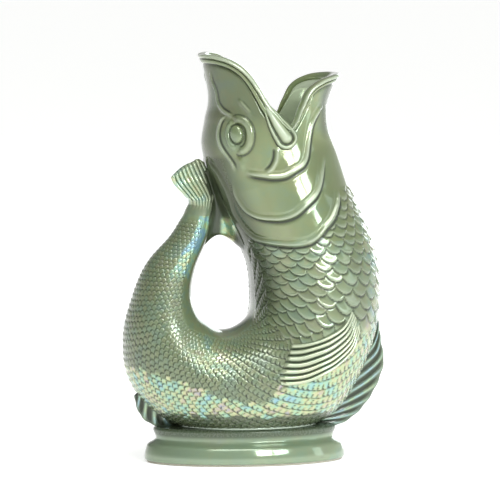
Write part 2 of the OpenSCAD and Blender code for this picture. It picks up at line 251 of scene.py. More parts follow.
def on_flank(points, lowest=0.0, highest=17.4):
    """[station, angle] rows where the near side shows these picture points."""
    ok = GRID_FACING & (GRID_S >= lowest) & (GRID_S <= highest)
    seen, s, a = GRID_SEEN[ok], GRID_S[ok], GRID_A[ok]
    rows = []
    for p in points:
        i = np.argmin(((seen - p) ** 2).sum(-1))
        rows.append([s[i], a[i]])
    return nearer(np.array(rows), np.array(points, float))


CURVE_STEPS = 12


def beside(points, normals, curve):
    """Distance from points to a curve of [station, angle] rows, and the share of the way along it.

    The distance is positive on the curve's left, as seen from outside. Points of the fish's left
    side are mirrored first.
    """
    n = (len(curve) - 1) * CURVE_STEPS + 1
    rows = spread(curve, np.linspace(0, 1, n))
    line = skin(rows[:, 0], rows[:, 1])
    tangent = unit(np.gradient(line, axis=0))
    flip = np.where(points[..., 1:2] > 0, -1.0, 1.0) * np.array([[0, 1.0, 0]]) + np.array([[1.0, 0, 1.0]])
    p, nrm = points * flip, normals * flip
    best = np.full(p.shape[:-1], 1e9)
    at = np.zeros(p.shape[:-1], int)
    for i in range(n):
        d = ((p - line[i]) ** 2).sum(-1)
        closer = d < best
        best = np.where(closer, d, best)
        at = np.where(closer, i, at)
    way = p - line[at]
    t = tangent[at]
    ahead = (way * t).sum(-1)
    side = (way * np.cross(nrm, t)).sum(-1)
    distance = np.sqrt(np.maximum(best - ahead ** 2 * (np.abs(ahead) < 1.5), 1e-9))
    return np.where(side >= 0, distance, -distance), at / (n - 1)


# The scales' rows and columns come from tables of lengths along and round the body
TABLE_STATIONS = np.linspace(0, 14.0, 701)
MID_FLANK = 90


def ring_table():
    """Length round each ring from the middle of the flank, and length along the body per station."""
    s, a = np.meshgrid(TABLE_STATIONS, np.linspace(0, 180, 181), indexing="ij")
    p = skin(s, a)
    steps = np.linalg.norm(np.diff(p, axis=1), axis=-1)
    arc = np.concatenate([np.zeros((len(TABLE_STATIONS), 1)), np.cumsum(steps, axis=1)], axis=1)
    arc -= arc[:, MID_FLANK:MID_FLANK + 1]
    run = np.linalg.norm(slopes(s, a)[0], axis=-1)
    return arc, run


ARC, RUN = ring_table()
# Width of a scale and step from row to row, as [station, width, step]
FINE_SCALES = np.array([
    [0, 2.7, 2.5], [2, 3.0, 2.7], [4, 3.3, 2.8], [6, 3.6, 3.0], [7, 3.9, 3.3],
    [8, 4.5, 3.9], [9, 5.0, 4.5], [10, 5.3, 4.9], [14, 5.8, 5.2],
])
BROAD_SCALES = np.array([
    [8, 12.0, 5.8], [9.3, 13.0, 5.9], [10, 12.0, 5.7], [11, 9.8, 5.3], [12.5, 8.6, 5.0], [14, 8, 4.8],
])
BROAD_FROM = 8.25
# Station where the broad scales begin, as [angle from the dorsal line, station]
BROAD_EDGE = np.array([
    [0, 12.6], [20, 12.2], [29, 9.6], [37, 8.35], [61, 8.2], [75, 8.35], [92, 8.6], [110, 9.1],
    [120, 9.4], [135, 9.15], [150, 9.3], [180, 9.5],
])


def row_numbers(sizes, start, fan):
    """Row numbers over the table. Past the tail, fan is how far the rows spread out with the body."""
    step = np.interp(TABLE_STATIONS, sizes[:, 0], sizes[:, 2])[:, None]
    middle = RUN[:, MID_FLANK:MID_FLANK + 1]
    share = np.where(TABLE_STATIONS[:, None] > TAIL_END, fan, 0.0)
    rate = middle ** (1 - share) * RUN ** share / step
    total = np.concatenate([np.zeros((1, rate.shape[1])), np.cumsum((rate[1:] + rate[:-1]) / 2, axis=0)])
    total *= TABLE_STATIONS[1] - TABLE_STATIONS[0]
    at = np.searchsorted(TABLE_STATIONS, start)
    return total - total[at:at + 1]


FINE_ROWS = row_numbers(FINE_SCALES, TAIL_END, 0.5)
BROAD_ROWS = row_numbers(BROAD_SCALES, BROAD_FROM, 0.0)


def looked_up(table, s, a):
    """A value of a table of stations and angles, between its entries."""
    x = np.clip(s / (TABLE_STATIONS[1] - TABLE_STATIONS[0]), 0, len(TABLE_STATIONS) - 1.001)
    y = np.clip(a, 0, 179.999)
    i, j = x.astype(int), y.astype(int)
    near = blend(table[i, j], table[i + 1, j], x - i)
    far = blend(table[i, j + 1], table[i + 1, j + 1], x - i)
    return blend(near, far, y - j)


def chance(a, b, seed):
    """A number from 0 to 1 that belongs to a pair of whole numbers."""
    v = np.sin(a * 12.9898 + b * 78.233 + seed * 37.719) * 43758.5453
    return v - np.floor(v)


# Rows looked at for the scale on top, the topmost first
ROWS_SEARCHED = (2, 1, 0, -1, -2, -3)
# In shares of a scale's width or of a row: half the scale, and how far it strays from its place
SCALE_HALF, ROW_WOBBLE, COLUMN_WOBBLE = 0.54, 0.16, 0.08
NO_EDGE = 9.0


def scale_lattice(s, a, sizes, rows):
    """The scale on top at each place, where scales overlap and point to the tail.

    It gives the distance back from the scale's edge, the place across it, the gap to the edge of
    the scale above, and a tint.
    """
    width = np.interp(s, sizes[:, 0], sizes[:, 1])
    arc = looked_up(ARC, s, a)
    number = looked_up(rows, s, a)
    lean = (looked_up(rows, s, a + 1) - looked_up(rows, s, a - 1)) / np.maximum(
        looked_up(ARC, s, a + 1) - looked_up(ARC, s, a - 1), 1e-6)
    found = np.zeros(s.shape, bool)
    edge_gap = np.full(s.shape, NO_EDGE)
    back, across, own_row, own_column = np.zeros((4, *s.shape))
    for k in ROWS_SEARCHED:
        row = np.floor(number) + k
        shift = 0.5 * np.mod(row, 2)
        column = np.round(arc / width - shift) + shift
        wobble = ROW_WOBBLE * (chance(row, column, 1.0) - 0.5)
        y = number + lean * (column * width - arc) - row + wobble
        x = arc / width - column + COLUMN_WOBBLE * (chance(row, column, 2.0) - 0.5)
        edge = 1.0 - np.sqrt(np.clip(1 - (x / SCALE_HALF) ** 2, 0, 1))
        inside = (y > edge) & ~found
        outside = ~found & ~inside
        edge_gap = np.where(outside, np.minimum(edge_gap, np.maximum(edge - y, 0)), edge_gap)
        back = np.where(inside, y - edge, back)
        across = np.where(inside, x, across)
        own_row = np.where(inside, row, own_row)
        own_column = np.where(inside, column, own_column)
        found |= inside
    return back, across, edge_gap, chance(own_row, own_column, 3.0)


# Half width in degrees of the band without scales along the dorsal line, as [station, angle]
SMOOTH_BAND = np.array([
    [0, 80], [1, 70], [2, 60], [3, 56], [4, 60], [5, 40], [6, 29], [7, 21], [8, 16], [9, 11],
    [10.6, 12], [11.5, 40], [12, 48], [14, 60],
])
# Height of the scales in millimetres, of the fine ones as [station, height]
FINE_HEIGHTS = np.array([[0, 0.42], [5, 0.5], [7.5, 0.6], [9, 0.75]])
BROAD_HEIGHT = 0.85
# What else differs between the fine scales and the broad ones, as (fine, broad)
SCALE_LOOKS = {"side_drop": (0.9, 0.25), "rim_height": (0.12, 0.30), "groove_width": (0.27, 0.20),
               "shade": (0.0, 0.16)}


def scales(s, a):
    """Relief of the scales in millimetres, with masks for rims, grooves, tints and where they show."""
    folded = fold_over(a)
    fine = scale_lattice(s, folded, FINE_SCALES, FINE_ROWS)
    broad = scale_lattice(s, folded, BROAD_SCALES, BROAD_ROWS)
    border = np.interp(folded, BROAD_EDGE[:, 0], BROAD_EDGE[:, 1]) + 0.08 * np.sin(folded / 7.0)
    is_broad = s > border
    back, across, gap, tint = (np.where(is_broad, b, f) for b, f in zip(broad, fine))
    look = {part: np.where(is_broad, b, f) for part, (f, b) in SCALE_LOOKS.items()}
    rise = smooth(back / 0.16)
    slope = 1 - 0.6 * np.clip(back, 0, 1.4)
    dome = 1 - look["side_drop"] * (1.6 * across) ** 2
    # Rim: thin glaze and a painted highlight; groove: pooled glaze and painted shade
    rim = hump(back, 0.17, 0.12)
    groove = hump(gap, 0, look["groove_width"])
    tilt = 1.1 * (tint - 0.5) * across + 0.9 * (np.mod(tint * 7.0, 1.0) - 0.5) * (back - 0.5)
    height = (0.25 + 0.75 * rise) * slope * dome + look["rim_height"] * rim
    height = height + np.where(is_broad, tilt, 0.0) * rise - 0.30 * groove
    middle = np.clip(1 - (2.1 * across) ** 2, 0, 1)
    # The broad scales' rim is a pale crescent, thin glaze and a painted highlight
    crescent = hump(back, 0.24, 0.06 + 0.15 * middle) * (0.35 + 0.65 * middle)
    rim = np.where(is_broad, crescent, rim)
    # Painted shade towards a broad scale's covered end
    groove = np.maximum(groove, look["shade"] * rises(back, 0.5, 0.5))
    band = np.interp(s, SMOOTH_BAND[:, 0], SMOOTH_BAND[:, 1])
    shown = smooth((folded - band) / 7.0 + 0.5) * rises(s, 0.35, 0.35)
    worn = 1 - 0.55 * falls(folded, band + 62, 40) * rises(s, 3.0, 1.2) * falls(s, 6.7, 1.2)
    worn = worn * (1 - falls(folded, 44, 24) * rises(s, 5.4, 0.8) * falls(s, 8.3, 0.8))
    tall = np.where(is_broad, BROAD_HEIGHT, np.interp(s, FINE_HEIGHTS[:, 0], FINE_HEIGHTS[:, 1]))
    return height * tall * shown * worn, rim * shown, groove * shown * (0.5 + 0.5 * worn), tint, shown


# Lines of the head's relief as points of the picture, with the first and last station to look at
COLLAR_LINE = on_flank([
    (206.5, 160), (215.3, 171.6), (224, 187.8), (228.7, 199.3), (233, 212.7), (240.2, 224.2),
    (247.8, 233.8), (257.4, 241.4), (272.7, 245.3), (291.9, 247.2), (308, 245.3), (318.7, 239.5),
    (327.3, 229), (334, 220.4), (338.8, 207), (340, 190)], 10, 14.4)
GILL_LINE = on_flank([
    (230, 176), (234.4, 193.6), (240.2, 205), (247.8, 213.7), (259.3, 219.4), (272.7, 221.3),
    (284.2, 220.9), (296.7, 216.6), (308, 207), (316.7, 197.4), (321.5, 186), (323.8, 171.6),
    (326, 155)], 11, 15)
CHEEK_LINE = on_flank([
    (243, 174.5), (252.6, 176.8), (262.2, 178.3), (273.7, 179.7), (286, 178.3), (296.7, 172.5),
    (304.3, 166.8), (308.5, 157), (310, 145), (311.3, 134), (313.7, 123.5), (318.5, 113.9),
    (323.5, 107)], 12, 16.5)
BROW_LINE = on_flank([
    (212.5, 71), (213.2, 79), (216.5, 87), (218.3, 94), (219.6, 101), (223.5, 107.5), (229, 111.5),
    (235, 114.5)], 13, 17)
NOSE_LINE = on_flank([(237, 98), (241.5, 104), (247.5, 111), (253.5, 119)], 13, 17)
EYE_FOLD = on_flank([
    (228, 117), (222.5, 123), (220.2, 132), (221, 141), (225, 149.4), (230.5, 157), (235, 164),
    (238, 173)], 12, 16)
EYE_TAIL = on_flank([(237, 156), (240.5, 162), (241.5, 168), (240, 174)], 12, 16)
CHEEK_CURL = on_flank([(273.6, 147), (273.8, 153), (272.4, 160.5), (268.5, 167), (262, 171.8)], 12, 16)
EYE_RING_RIGHT = on_flank([
    (232.5, 120.5), (238, 119.4), (244, 121.5), (248.6, 127), (250.2, 134.5), (249.6, 142),
    (246.4, 148.5), (241.5, 151.3), (237, 149.5)], 13, 16)
EYE_RING_LEFT = on_flank([
    (233.5, 121), (229, 126), (227.6, 133), (228.6, 140.5), (231.6, 146.5), (236, 150)], 13, 16)
EYE_CENTRE = on_flank([(236.6, 134.3)], 13, 16)[0]
EYE_LENGTH, EYE_WIDTH, EYE_REACH = 5.5, 4.3, 12


def window(t, fade_in=0.08, fade_out=0.08):
    """1 along a curve, fading over these shares of it at its ends."""
    return smooth(t / fade_in) * smooth((1 - t) / fade_out)


def edge_step(points, normals, curve, tall, reach, fade=(0.1, 0.1), roll=0.5, roll_at=1.7):
    """A plate that stands up on the left of a curve and sinks back into the skin over reach."""
    d, t = beside(points, normals, curve)
    shown = window(t, *fade)
    plate = smooth(d / 1.1 + 0.35) * np.exp(-np.clip(d, 0, None) / reach)
    crease = hump(d, -0.6, 1.0)
    lip = hump(d, roll_at, 1.0)
    behind = hump(d - roll_at, 2.3, 1.0)
    height = (tall * plate - 0.9 * crease + roll * (lip - 0.7 * behind)) * shown
    # The crease gets painted shade and the rolled lip a painted highlight
    return height, crease * shown, 1.3 * lip * shown


FOLD_WIDTH = 0.9


def fold(points, normals, curve, deep, tall, beyond=1.9, fade=(0.12, 0.15)):
    """A crease with a soft ridge on its right."""
    d, t = beside(points, normals, curve)
    shown = window(t, *fade)
    crease = hump(d, 0, FOLD_WIDTH)
    ridge = hump(d, -beyond, 1.05 * FOLD_WIDTH)
    # The crease gets painted shade and the ridge a painted highlight
    return (tall * ridge - deep * crease) * shown, crease * shown, 1.4 * ridge * shown


def head_relief(s, a):
    """Relief of the head in millimetres, with masks for painted shade in creases and painted highlight on
    raised edges.
    """
    points, normals = skin(s, a), outward(s, a)
    parts = [
        edge_step(points, normals, COLLAR_LINE, 1.3, 9.0, fade=(0.06, 0.05), roll=0.7, roll_at=1.9),
        edge_step(points, normals, GILL_LINE, 1.6, 11.0, fade=(0.1, 0.12)),
        edge_step(points, normals, CHEEK_LINE, 1.2, 12.0, fade=(0.12, 0.1)),
        fold(points, normals, BROW_LINE, 1.2, 1.1),
        fold(points, normals, EYE_FOLD, 1.1, 1.0),
        fold(points, normals, CHEEK_CURL, 0.6, 0.5, beyond=-2.3, fade=(0.2, 0.25))]
    d, t = beside(points, normals, NOSE_LINE)
    nose, beneath = hump(d, 0, 1.2) * window(t, 0.35, 0.4), hump(d, 2.0, 1.0) * window(t, 0.35, 0.4)
    parts.append((0.75 * nose - 0.3 * beneath, 0.6 * beneath, 0.6 * nose))
    d, t = beside(points, normals, EYE_TAIL)
    parts.append((0.9 * hump(d, 0, 1.6) * window(t, 0.3, 0.4), 0 * d, 0 * d))
    d, t = beside(points, normals, EYE_RING_RIGHT)
    ring = np.clip(1 - (d / 2.9) ** 2, 0, 1) ** 0.8 * window(t, 0.14, 0.16)
    outer = hump(np.abs(d), 2.9, 0.65) * window(t, 0.06, 0.06)
    parts.append((1.7 * ring - 0.35 * outer, 0.85 * outer, 0.5 * ring ** 4))
    heights, creases, edges = zip(*parts)
    return *with_eye(points, normals, sum(heights), strongest(*creases)), strongest(*edges)


def with_eye(points, normals, height, crease):
    """The head's relief and creases with the ring's left half and the eyeball in its socket, which gets
    painted shade.
    """
    d, t = beside(points, normals, EYE_RING_LEFT)
    ring = np.clip(1 - (d / 1.8) ** 2, 0, 1) ** 0.8 * window(t, 0.12, 0.2)
    height = np.maximum(height, 1.3 * ring)
    by_s, by_a = slopes(*EYE_CENTRE)
    way = points * np.where(points[..., 1:2] > 0, [1, -1, 1], [1, 1, 1]) - skin(*EYE_CENTRE)
    rho = np.sqrt(((way @ unit(by_s)) / EYE_LENGTH) ** 2 + ((way @ unit(by_a)) / EYE_WIDTH) ** 2)
    near = np.linalg.norm(way, axis=-1) < EYE_REACH
    ball = np.sqrt(np.clip(1 - rho ** 2, 0, 1)) * near
    socket = hump(rho, 1.07, 0.09) * near
    height = np.where((rho < 1.0) & near, 0.2 + 2.3 * ball, height) - 0.45 * socket
    return height, np.maximum(crease * (rho > 1.0), 0.85 * socket)


def above_collar(s, a):
    """1 on the head side of the collar's edge, 0 on the scaled side."""
    points, normals = skin(s, a), outward(s, a)
    d, t = beside(points, normals, COLLAR_LINE)
    folded = fold_over(a)
    mask = smooth(d / 1.2 + 0.5)
    for end_s, beyond_end in ((COLLAR_LINE[0, 0], (t <= 0.0) & (folded < COLLAR_LINE[0, 1])),
                              (COLLAR_LINE[-1, 0], (t >= 1.0) & (folded > COLLAR_LINE[-1, 1]))):
        mask = np.where(beyond_end, smooth((s - end_s) / 0.1 + 0.5), mask)
    return mask


# Top of the lustre band on the belly, a painted reflection of the floor, as [x, height]
BELLY_BAND = np.array([
    [-70, 61], [-60, 58], [-50, 56], [-25, 47], [-8, 42], [5, 42], [16, 52], [40, 60], [60, 72], [80, 100],
])
# Height below which the belly's glaze gets painted shade, over the foot
SHADE_BELOW = 33.0
# Strength of painted shade on nape, forehead, chin, low belly, loop side and breast side; darkening of bare
# and scaled glaze
NAPE_SHADE, FOREHEAD_SHADE, CHIN_SHADE = 0.5, 0.42, 0.6
LOW_SHADE, LOOP_SHADE, SIDE_SHADE, BARE_DARK, SCALED_DARK = 0.6, 0.72, 0.30, 0.36, 0.25
# The first station of the head's relief
HEAD_FROM = 10.5
# The bottom of the finger loop is rounded here, by so much
LOOP_BOTTOM, LOOP_DIP = 7.05, 1.8


def head_shade(s, folded):
    """Painted shade on the nape, the forehead and the chin."""
    nape = falls(folded, 50, 26) * rises(s, 11, 1)
    forehead = rises(s, 14.4, 1.0) * falls(folded, 92, 14)
    chin = rises(s, 13.2, 1.2) * rises(folded, 132, 16)
    return strongest(NAPE_SHADE * nape, FOREHEAD_SHADE * forehead, CHIN_SHADE * chin)


def glaze_zones(s, a, tint, shown):
    """Masks for painted shade and darker glaze, for lustre with painted reflection, and for the curl's
    painted blue reflection.
    """
    place = skin(s, a)
    across, tall = place[..., 0], place[..., 2]
    folded = fold_over(a)
    # Painted blue reflection on the inner flank of the tail's curl, with a ragged edge
    ragged = 9 * (np.abs(tint - 0.5) * 2 - 0.5) * (s > 0.5)
    curl_blue_reflection = falls(folded, 98 + ragged, 8) * rises(folded, 40, 10) * falls(s, 2.5, 0.6) * smooth(s / 0.5)
    # Painted reflections: bluish lustre on the belly near the loop, and glare at the breast's right edge
    low_curl_reflection = falls(folded, 94, 30) * rises(folded, 30, 25) * falls(s, 7.2, 1.2) * rises(s, 4.5, 1.5)
    breast_edge_glare = rises(folded, 126, 22) * rises(s, 8.6, 0.8) * falls(s, 12.2, 1.0)
    # Painted shade low on the belly, over the foot
    low_shade = falls(tall, SHADE_BELOW + 4 * (tint - 0.5), 2.5) * falls(s, 10, 1)
    # The lustre band under the belly is the glaze's own lustre and a painted reflection of the floor
    band_top = np.interp(across, BELLY_BAND[:, 0], BELLY_BAND[:, 1]) + 5 * (tint - 0.5)
    floor_reflection_band = falls(tall, band_top, 2.5) * (1 - low_shade) * falls(s, 10.4, 1.6)
    # Painted shade on the side towards the loop and on the breast's right side
    loop = falls(folded, 60, 30) * rises(s, 7.6, 1.4) * falls(s, 14, 0.6)
    side = rises(folded, 98, 24) * rises(s, 8.8, 1) * falls(s, 14, 0.8)
    bare = (1 - shown) * rises(s, 0.6, 0.6) * falls(s, 9.4, 1.2) * (1 - curl_blue_reflection)
    scaled = shown * falls(s, 9.4, 1.2) * (1 - floor_reflection_band) * (1 - curl_blue_reflection) * (1 - 0.7 * low_curl_reflection)
    dark = strongest(
        LOW_SHADE * low_shade, LOOP_SHADE * loop, SIDE_SHADE * side, BARE_DARK * bare, SCALED_DARK * scaled)
    return dark, strongest(floor_reflection_band, curl_blue_reflection, 0.6 * breast_edge_glare, 0.4 * low_curl_reflection), curl_blue_reflection


def glazed(s, a):
    """The glazed surface over the skin, with its marks (groove, rim, tint) and its lustre; these carry
    painted shade, highlight and reflections.
    """
    folded = fold_over(a)
    rise, rim, groove, tint, shown = scales(s, a)
    if s.max() > HEAD_FROM:
        keep = 1 - above_collar(s, a)
        relief, crease, edges = head_relief(s, a)
        rise, shown = rise * keep + relief, shown * keep
        rim, groove = np.maximum(rim * keep, edges), strongest(groove * keep, crease, head_shade(s, folded))
    dark, lustre, curl_blue_reflection = glaze_zones(s, a, tint, shown)
    points = skin(s, a) + outward(s, a) * rise[..., None]
    points[..., 2] -= LOOP_DIP * hump(s, LOOP_BOTTOM, 0.65) * falls(folded, 62, 36)
    return points, np.stack([np.maximum(groove, dark), rim, tint - 0.7 * curl_blue_reflection], -1), lustre


def surface_normals(points):
    """Normals of a closed ring of columns, without the grid's first and last rows."""
    down = points[2:] - points[:-2]
    across = np.roll(points, -1, axis=1) - np.roll(points, 1, axis=1)
    return unit(np.cross(across[1:-1], down))


def grid_faces(rows, columns, hoop=False):
    """Faces of a tube of rings, which with hoop is closed on itself like a tyre."""
    i = np.arange(rows if hoop else rows - 1)[:, None]
    j = np.arange(columns)[None, :]
    after, beside_it = (i + 1) % rows, (j + 1) % columns
    corners = i * columns + j, i * columns + beside_it, after * columns + beside_it, after * columns + j
    return np.stack(corners, -1).reshape(-1, 4).tolist()


def tube_faces(rows, columns):
    """Faces of a tube with a flat cap at each end."""
    caps = [list(range(columns))[::-1], list(range((rows - 1) * columns, rows * columns))]
    return grid_faces(rows, columns) + caps


def make_piece(name, points, faces, material, nodes, marks=None, lustre=None, normals=None):
    """A shaded mesh piece that stands for CAD nodes and rides on the root."""
    mesh = bpy.data.meshes.new(name)
    mesh.from_pydata((np.asarray(points).reshape(-1, 3) * MM).tolist(), [], faces)
    mesh.validate()
    mesh.polygons.foreach_set("use_smooth", [True] * len(mesh.polygons))
    count = len(mesh.vertices)
    marks = np.zeros(3 * count) if marks is None else np.ravel(marks)
    lustre = np.zeros(count) if lustre is None else np.ravel(lustre)
    # glaze_marks holds groove, rim and tint, which darken, lighten and shift the glaze partly as painted
    # shade and highlight; lustre can hold painted reflection
    mesh.attributes.new("glaze_marks", "FLOAT_VECTOR", "POINT").data.foreach_set("vector", marks)
    mesh.attributes.new("lustre", "FLOAT", "POINT").data.foreach_set("value", lustre)
    if normals is not None:
        mesh.normals_split_custom_set_from_vertices(normals.reshape(-1, 3).tolist())
    mesh.materials.append(material)
    piece = bpy.data.objects.new(name, mesh)
    bpy.context.scene.collection.objects.link(piece)
    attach(piece, "root")
    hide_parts(*nodes)


def group_tree(name, inputs, outputs):
    """A shader node group with its named sockets, and the nodes at its two ends."""
    tree = bpy.data.node_groups.new(name, "ShaderNodeTree")
    for label, kind, value in inputs:
        socket = tree.interface.new_socket(label, in_out="INPUT", socket_type=f"NodeSocket{kind}")
        if value is not None:
            socket.default_value = value
    for label, kind in outputs:
        tree.interface.new_socket(label, in_out="OUTPUT", socket_type=f"NodeSocket{kind}")
    return tree, tree.nodes.new("NodeGroupInput"), tree.nodes.new("NodeGroupOutput")


def feed(tree, socket, value):
    """Set a socket to a number or a colour, or link another node's output to it."""
    if isinstance(value, (int, float)):
        socket.default_value = value
    elif isinstance(value, tuple):
        socket.default_value = (*value, 1)
    else:
        tree.links.new(value, socket)


def math_node(tree, operation, *values, clamp=False):
    node = tree.nodes.new("ShaderNodeMath")
    node.operation = operation
    node.use_clamp = clamp
    for socket, value in zip(node.inputs, values):
        feed(tree, socket, value)
    return node.outputs[0]


def mix_colours(tree, share, first, second):
    node = tree.nodes.new("ShaderNodeMix")
    node.data_type = "RGBA"
    for place, value in ((0, share), (6, first), (7, second)):
        feed(tree, node.inputs[place], value)
    return node.outputs[2]


def noise(tree, vector, scale, detail=2.0, roughness=0.5):
    node = tree.nodes.new("ShaderNodeTexNoise")
    for label, value in (("Vector", vector), ("Scale", scale), ("Detail", detail), ("Roughness", roughness)):
        feed(tree, node.inputs[label], value)
    return node.outputs[0]


def ramp(tree, value, stops):
    node = tree.nodes.new("ShaderNodeValToRGB")
    while len(node.color_ramp.elements) < len(stops):
        node.color_ramp.elements.new(0.5)
    for element, (place, colour) in zip(node.color_ramp.elements, stops):
        element.position = place
        element.color = (*colour, 1)
    tree.links.new(value, node.inputs[0])
    return node.outputs[0]


# Colours of the pearly lustre from blue through green and gold to violet, as (place, colour)
PEARL_COLOURS = (
    (0.12, (0.32, 0.58, 0.74)), (0.30, (0.37, 0.68, 0.58)), (0.46, (0.48, 0.70, 0.42)),
    (0.60, (0.66, 0.70, 0.36)), (0.75, (0.62, 0.54, 0.40)), (0.90, (0.50, 0.48, 0.58)))


def lustre_group():
    """Pearly colours of a thin metal lustre: patches that drift over the glaze, shifted by scale."""
    tree, given, result = group_tree(
        "Pearl lustre",
        [("Glaze", "Color", (0.5, 0.55, 0.4, 1)), ("Dark", "Color", (0.1, 0.12, 0.06, 1)),
         ("Pale", "Color", (0.7, 0.75, 0.62, 1)), ("Marks", "Vector", None), ("Lustre", "Float", 0.0),
         ("Patch Size", "Float", 0.012), ("Pearl", "Float", 0.5), ("Per Scale", "Float", 0.3)],
        [("Colour", "Color"), ("Metal", "Float"), ("Roughness", "Float"), ("Coat", "Float")])
    place = tree.nodes.new("ShaderNodeTexCoord").outputs["Object"]
    marks = tree.nodes.new("ShaderNodeSeparateXYZ")
    tree.links.new(given.outputs["Marks"], marks.inputs[0])
    groove, rim, tint = marks.outputs
    patches = noise(tree, place, math_node(tree, "DIVIDE", 1.0, given.outputs["Patch Size"]), 3.0, 0.6)
    speckle = noise(tree, place, 950, 2.0, 0.6)
    cloud = noise(tree, place, 26)
    drift = math_node(tree, "MULTIPLY_ADD", patches, 1.5, -0.25)
    by_scale = math_node(tree, "MULTIPLY", math_node(tree, "SUBTRACT", tint, 0.5), given.outputs["Per Scale"])
    grain = math_node(tree, "MULTIPLY", math_node(tree, "SUBTRACT", speckle, 0.5), 0.35)
    hue = math_node(tree, "ADD", math_node(tree, "ADD", drift, by_scale), grain, clamp=True)
    sheen = math_node(tree, "MULTIPLY_ADD", cloud, 0.55, -0.13)
    lustre_and_reflection = math_node(tree, "MULTIPLY", given.outputs["Lustre"], 0.95)
    amount = math_node(tree, "ADD", lustre_and_reflection, sheen, clamp=True)
    strength = math_node(tree, "MULTIPLY", given.outputs["Pearl"], amount, clamp=True)
    colour = mix_colours(tree, strength, given.outputs["Glaze"], ramp(tree, hue, PEARL_COLOURS))
    # Pale on the rims: thin glaze and painted highlight
    raised = math_node(tree, "MULTIPLY", rim, 0.5, clamp=True)
    colour = mix_colours(tree, raised, colour, given.outputs["Pale"])
    # Dark in the grooves: pooled glaze and painted shade
    pooled_and_shaded = math_node(tree, "MULTIPLY", groove, 1.1, clamp=True)
    metal = math_node(tree, "MULTIPLY_ADD", amount, 0.55, 0.45)
    metal = math_node(tree, "SUBTRACT", metal, math_node(tree, "MULTIPLY", groove, 0.5), clamp=True)
    rough = math_node(tree, "MULTIPLY_ADD", speckle, 0.10, 0.06)
    rough = math_node(tree, "ADD", rough, math_node(tree, "MULTIPLY", groove, 0.25), clamp=True)
    for label, value in (
            ("Colour", mix_colours(tree, pooled_and_shaded, colour, given.outputs["Dark"])), ("Metal", metal),
            ("Roughness", rough), ("Coat", math_node(tree, "MULTIPLY_ADD", groove, -0.7, 1.0, clamp=True))):
        tree.links.new(value, result.inputs[label])
    return tree


def ripple_group():
    """Normals of a fired glaze: a faint orange peel and slow waves."""
    tree, given, result = group_tree(
        "Glaze ripple", [("Peel", "Float", 0.3), ("Waves", "Float", 0.3)], [("Normal", "Vector")])
    place = tree.nodes.new("ShaderNodeTexCoord").outputs["Object"]
    peel = math_node(tree, "MULTIPLY", noise(tree, place, 700), given.outputs["Peel"])
    swell = math_node(tree, "MULTIPLY", given.outputs["Waves"], 10.0)
    waves = math_node(tree, "MULTIPLY", noise(tree, place, 70), swell)
    bump = tree.nodes.new("ShaderNodeBump")
    bump.inputs["Strength"].default_value = 0.5
    bump.inputs["Distance"].default_value = 0.00006
    tree.links.new(math_node(tree, "ADD", peel, waves), bump.inputs["Height"])
    tree.links.new(bump.outputs[0], result.inputs["Normal"])
    return tree


LUSTRE = lustre_group()
RIPPLE = ripple_group()
PEEL, WAVES = 0.3, 0.3


def glaze_material(name, glaze, dark, pale, patch, pearl, per_scale, metal):
    """A glossy glaze with dark grooves (pooled glaze and painted shade), pale rims (thin glaze and painted
    highlight) and lustre, over a faint ripple.
    """
    material = bpy.data.materials.new(name)
    material.use_nodes = True
    tree = material.node_tree
    shader = tree.nodes["Principled BSDF"]
    marks = tree.nodes.new("ShaderNodeAttribute")
    marks.attribute_name = "glaze_marks"
    lustre_and_reflection = tree.nodes.new("ShaderNodeAttribute")
    lustre_and_reflection.attribute_name = "lustre"
    lustre = tree.nodes.new("ShaderNodeGroup")
    lustre.node_tree = LUSTRE
    for label, value in (("Glaze", glaze), ("Dark", dark), ("Pale", pale), ("Marks", marks.outputs["Vector"]),
                         ("Lustre", lustre_and_reflection.outputs["Fac"]), ("Patch Size", patch), ("Pearl", pearl),
                         ("Per Scale", per_scale)):
        feed(tree, lustre.inputs[label], value)
    ripple = tree.nodes.new("ShaderNodeGroup")
    ripple.node_tree = RIPPLE
    ripple.inputs["Peel"].default_value = PEEL
    ripple.inputs["Waves"].default_value = WAVES
    metallic = math_node(tree, "MULTIPLY", lustre.outputs["Metal"], metal)
    for label, value in (("Base Color", lustre.outputs["Colour"]), ("Metallic", metallic),
                         ("Roughness", lustre.outputs["Roughness"]), ("Normal", ripple.outputs["Normal"]),
                         ("Coat Weight", lustre.outputs["Coat"])):
        tree.links.new(value, shader.inputs[label])
    shader.inputs["Coat Roughness"].default_value = 0.03
    shader.inputs["Coat IOR"].default_value = 1.5
    return material


def clay_material():
    """Unglazed clay: cream with faint stains and a gritty surface."""
    material = bpy.data.materials.new("Bare clay")
    material.use_nodes = True
    tree = material.node_tree
    shader = tree.nodes["Principled BSDF"]
    place = tree.nodes.new("ShaderNodeTexCoord").outputs["Object"]
    grit = noise(tree, place, 1400, 3.0, 0.7)
    colour = mix_colours(tree, noise(tree, place, 60, 3.0), (0.74, 0.69, 0.58), (0.83, 0.79, 0.70))
    colour = mix_colours(tree, math_node(tree, "MULTIPLY", grit, 0.3), colour, (0.55, 0.48, 0.36))
    tree.links.new(colour, shader.inputs["Base Color"])
    shader.inputs["Roughness"].default_value = 0.85
    bump = tree.nodes.new("ShaderNodeBump")
    bump.inputs["Distance"].default_value = 0.0002
    tree.links.new(grit, bump.inputs["Height"])
    tree.links.new(bump.outputs[0], shader.inputs["Normal"])
    return material


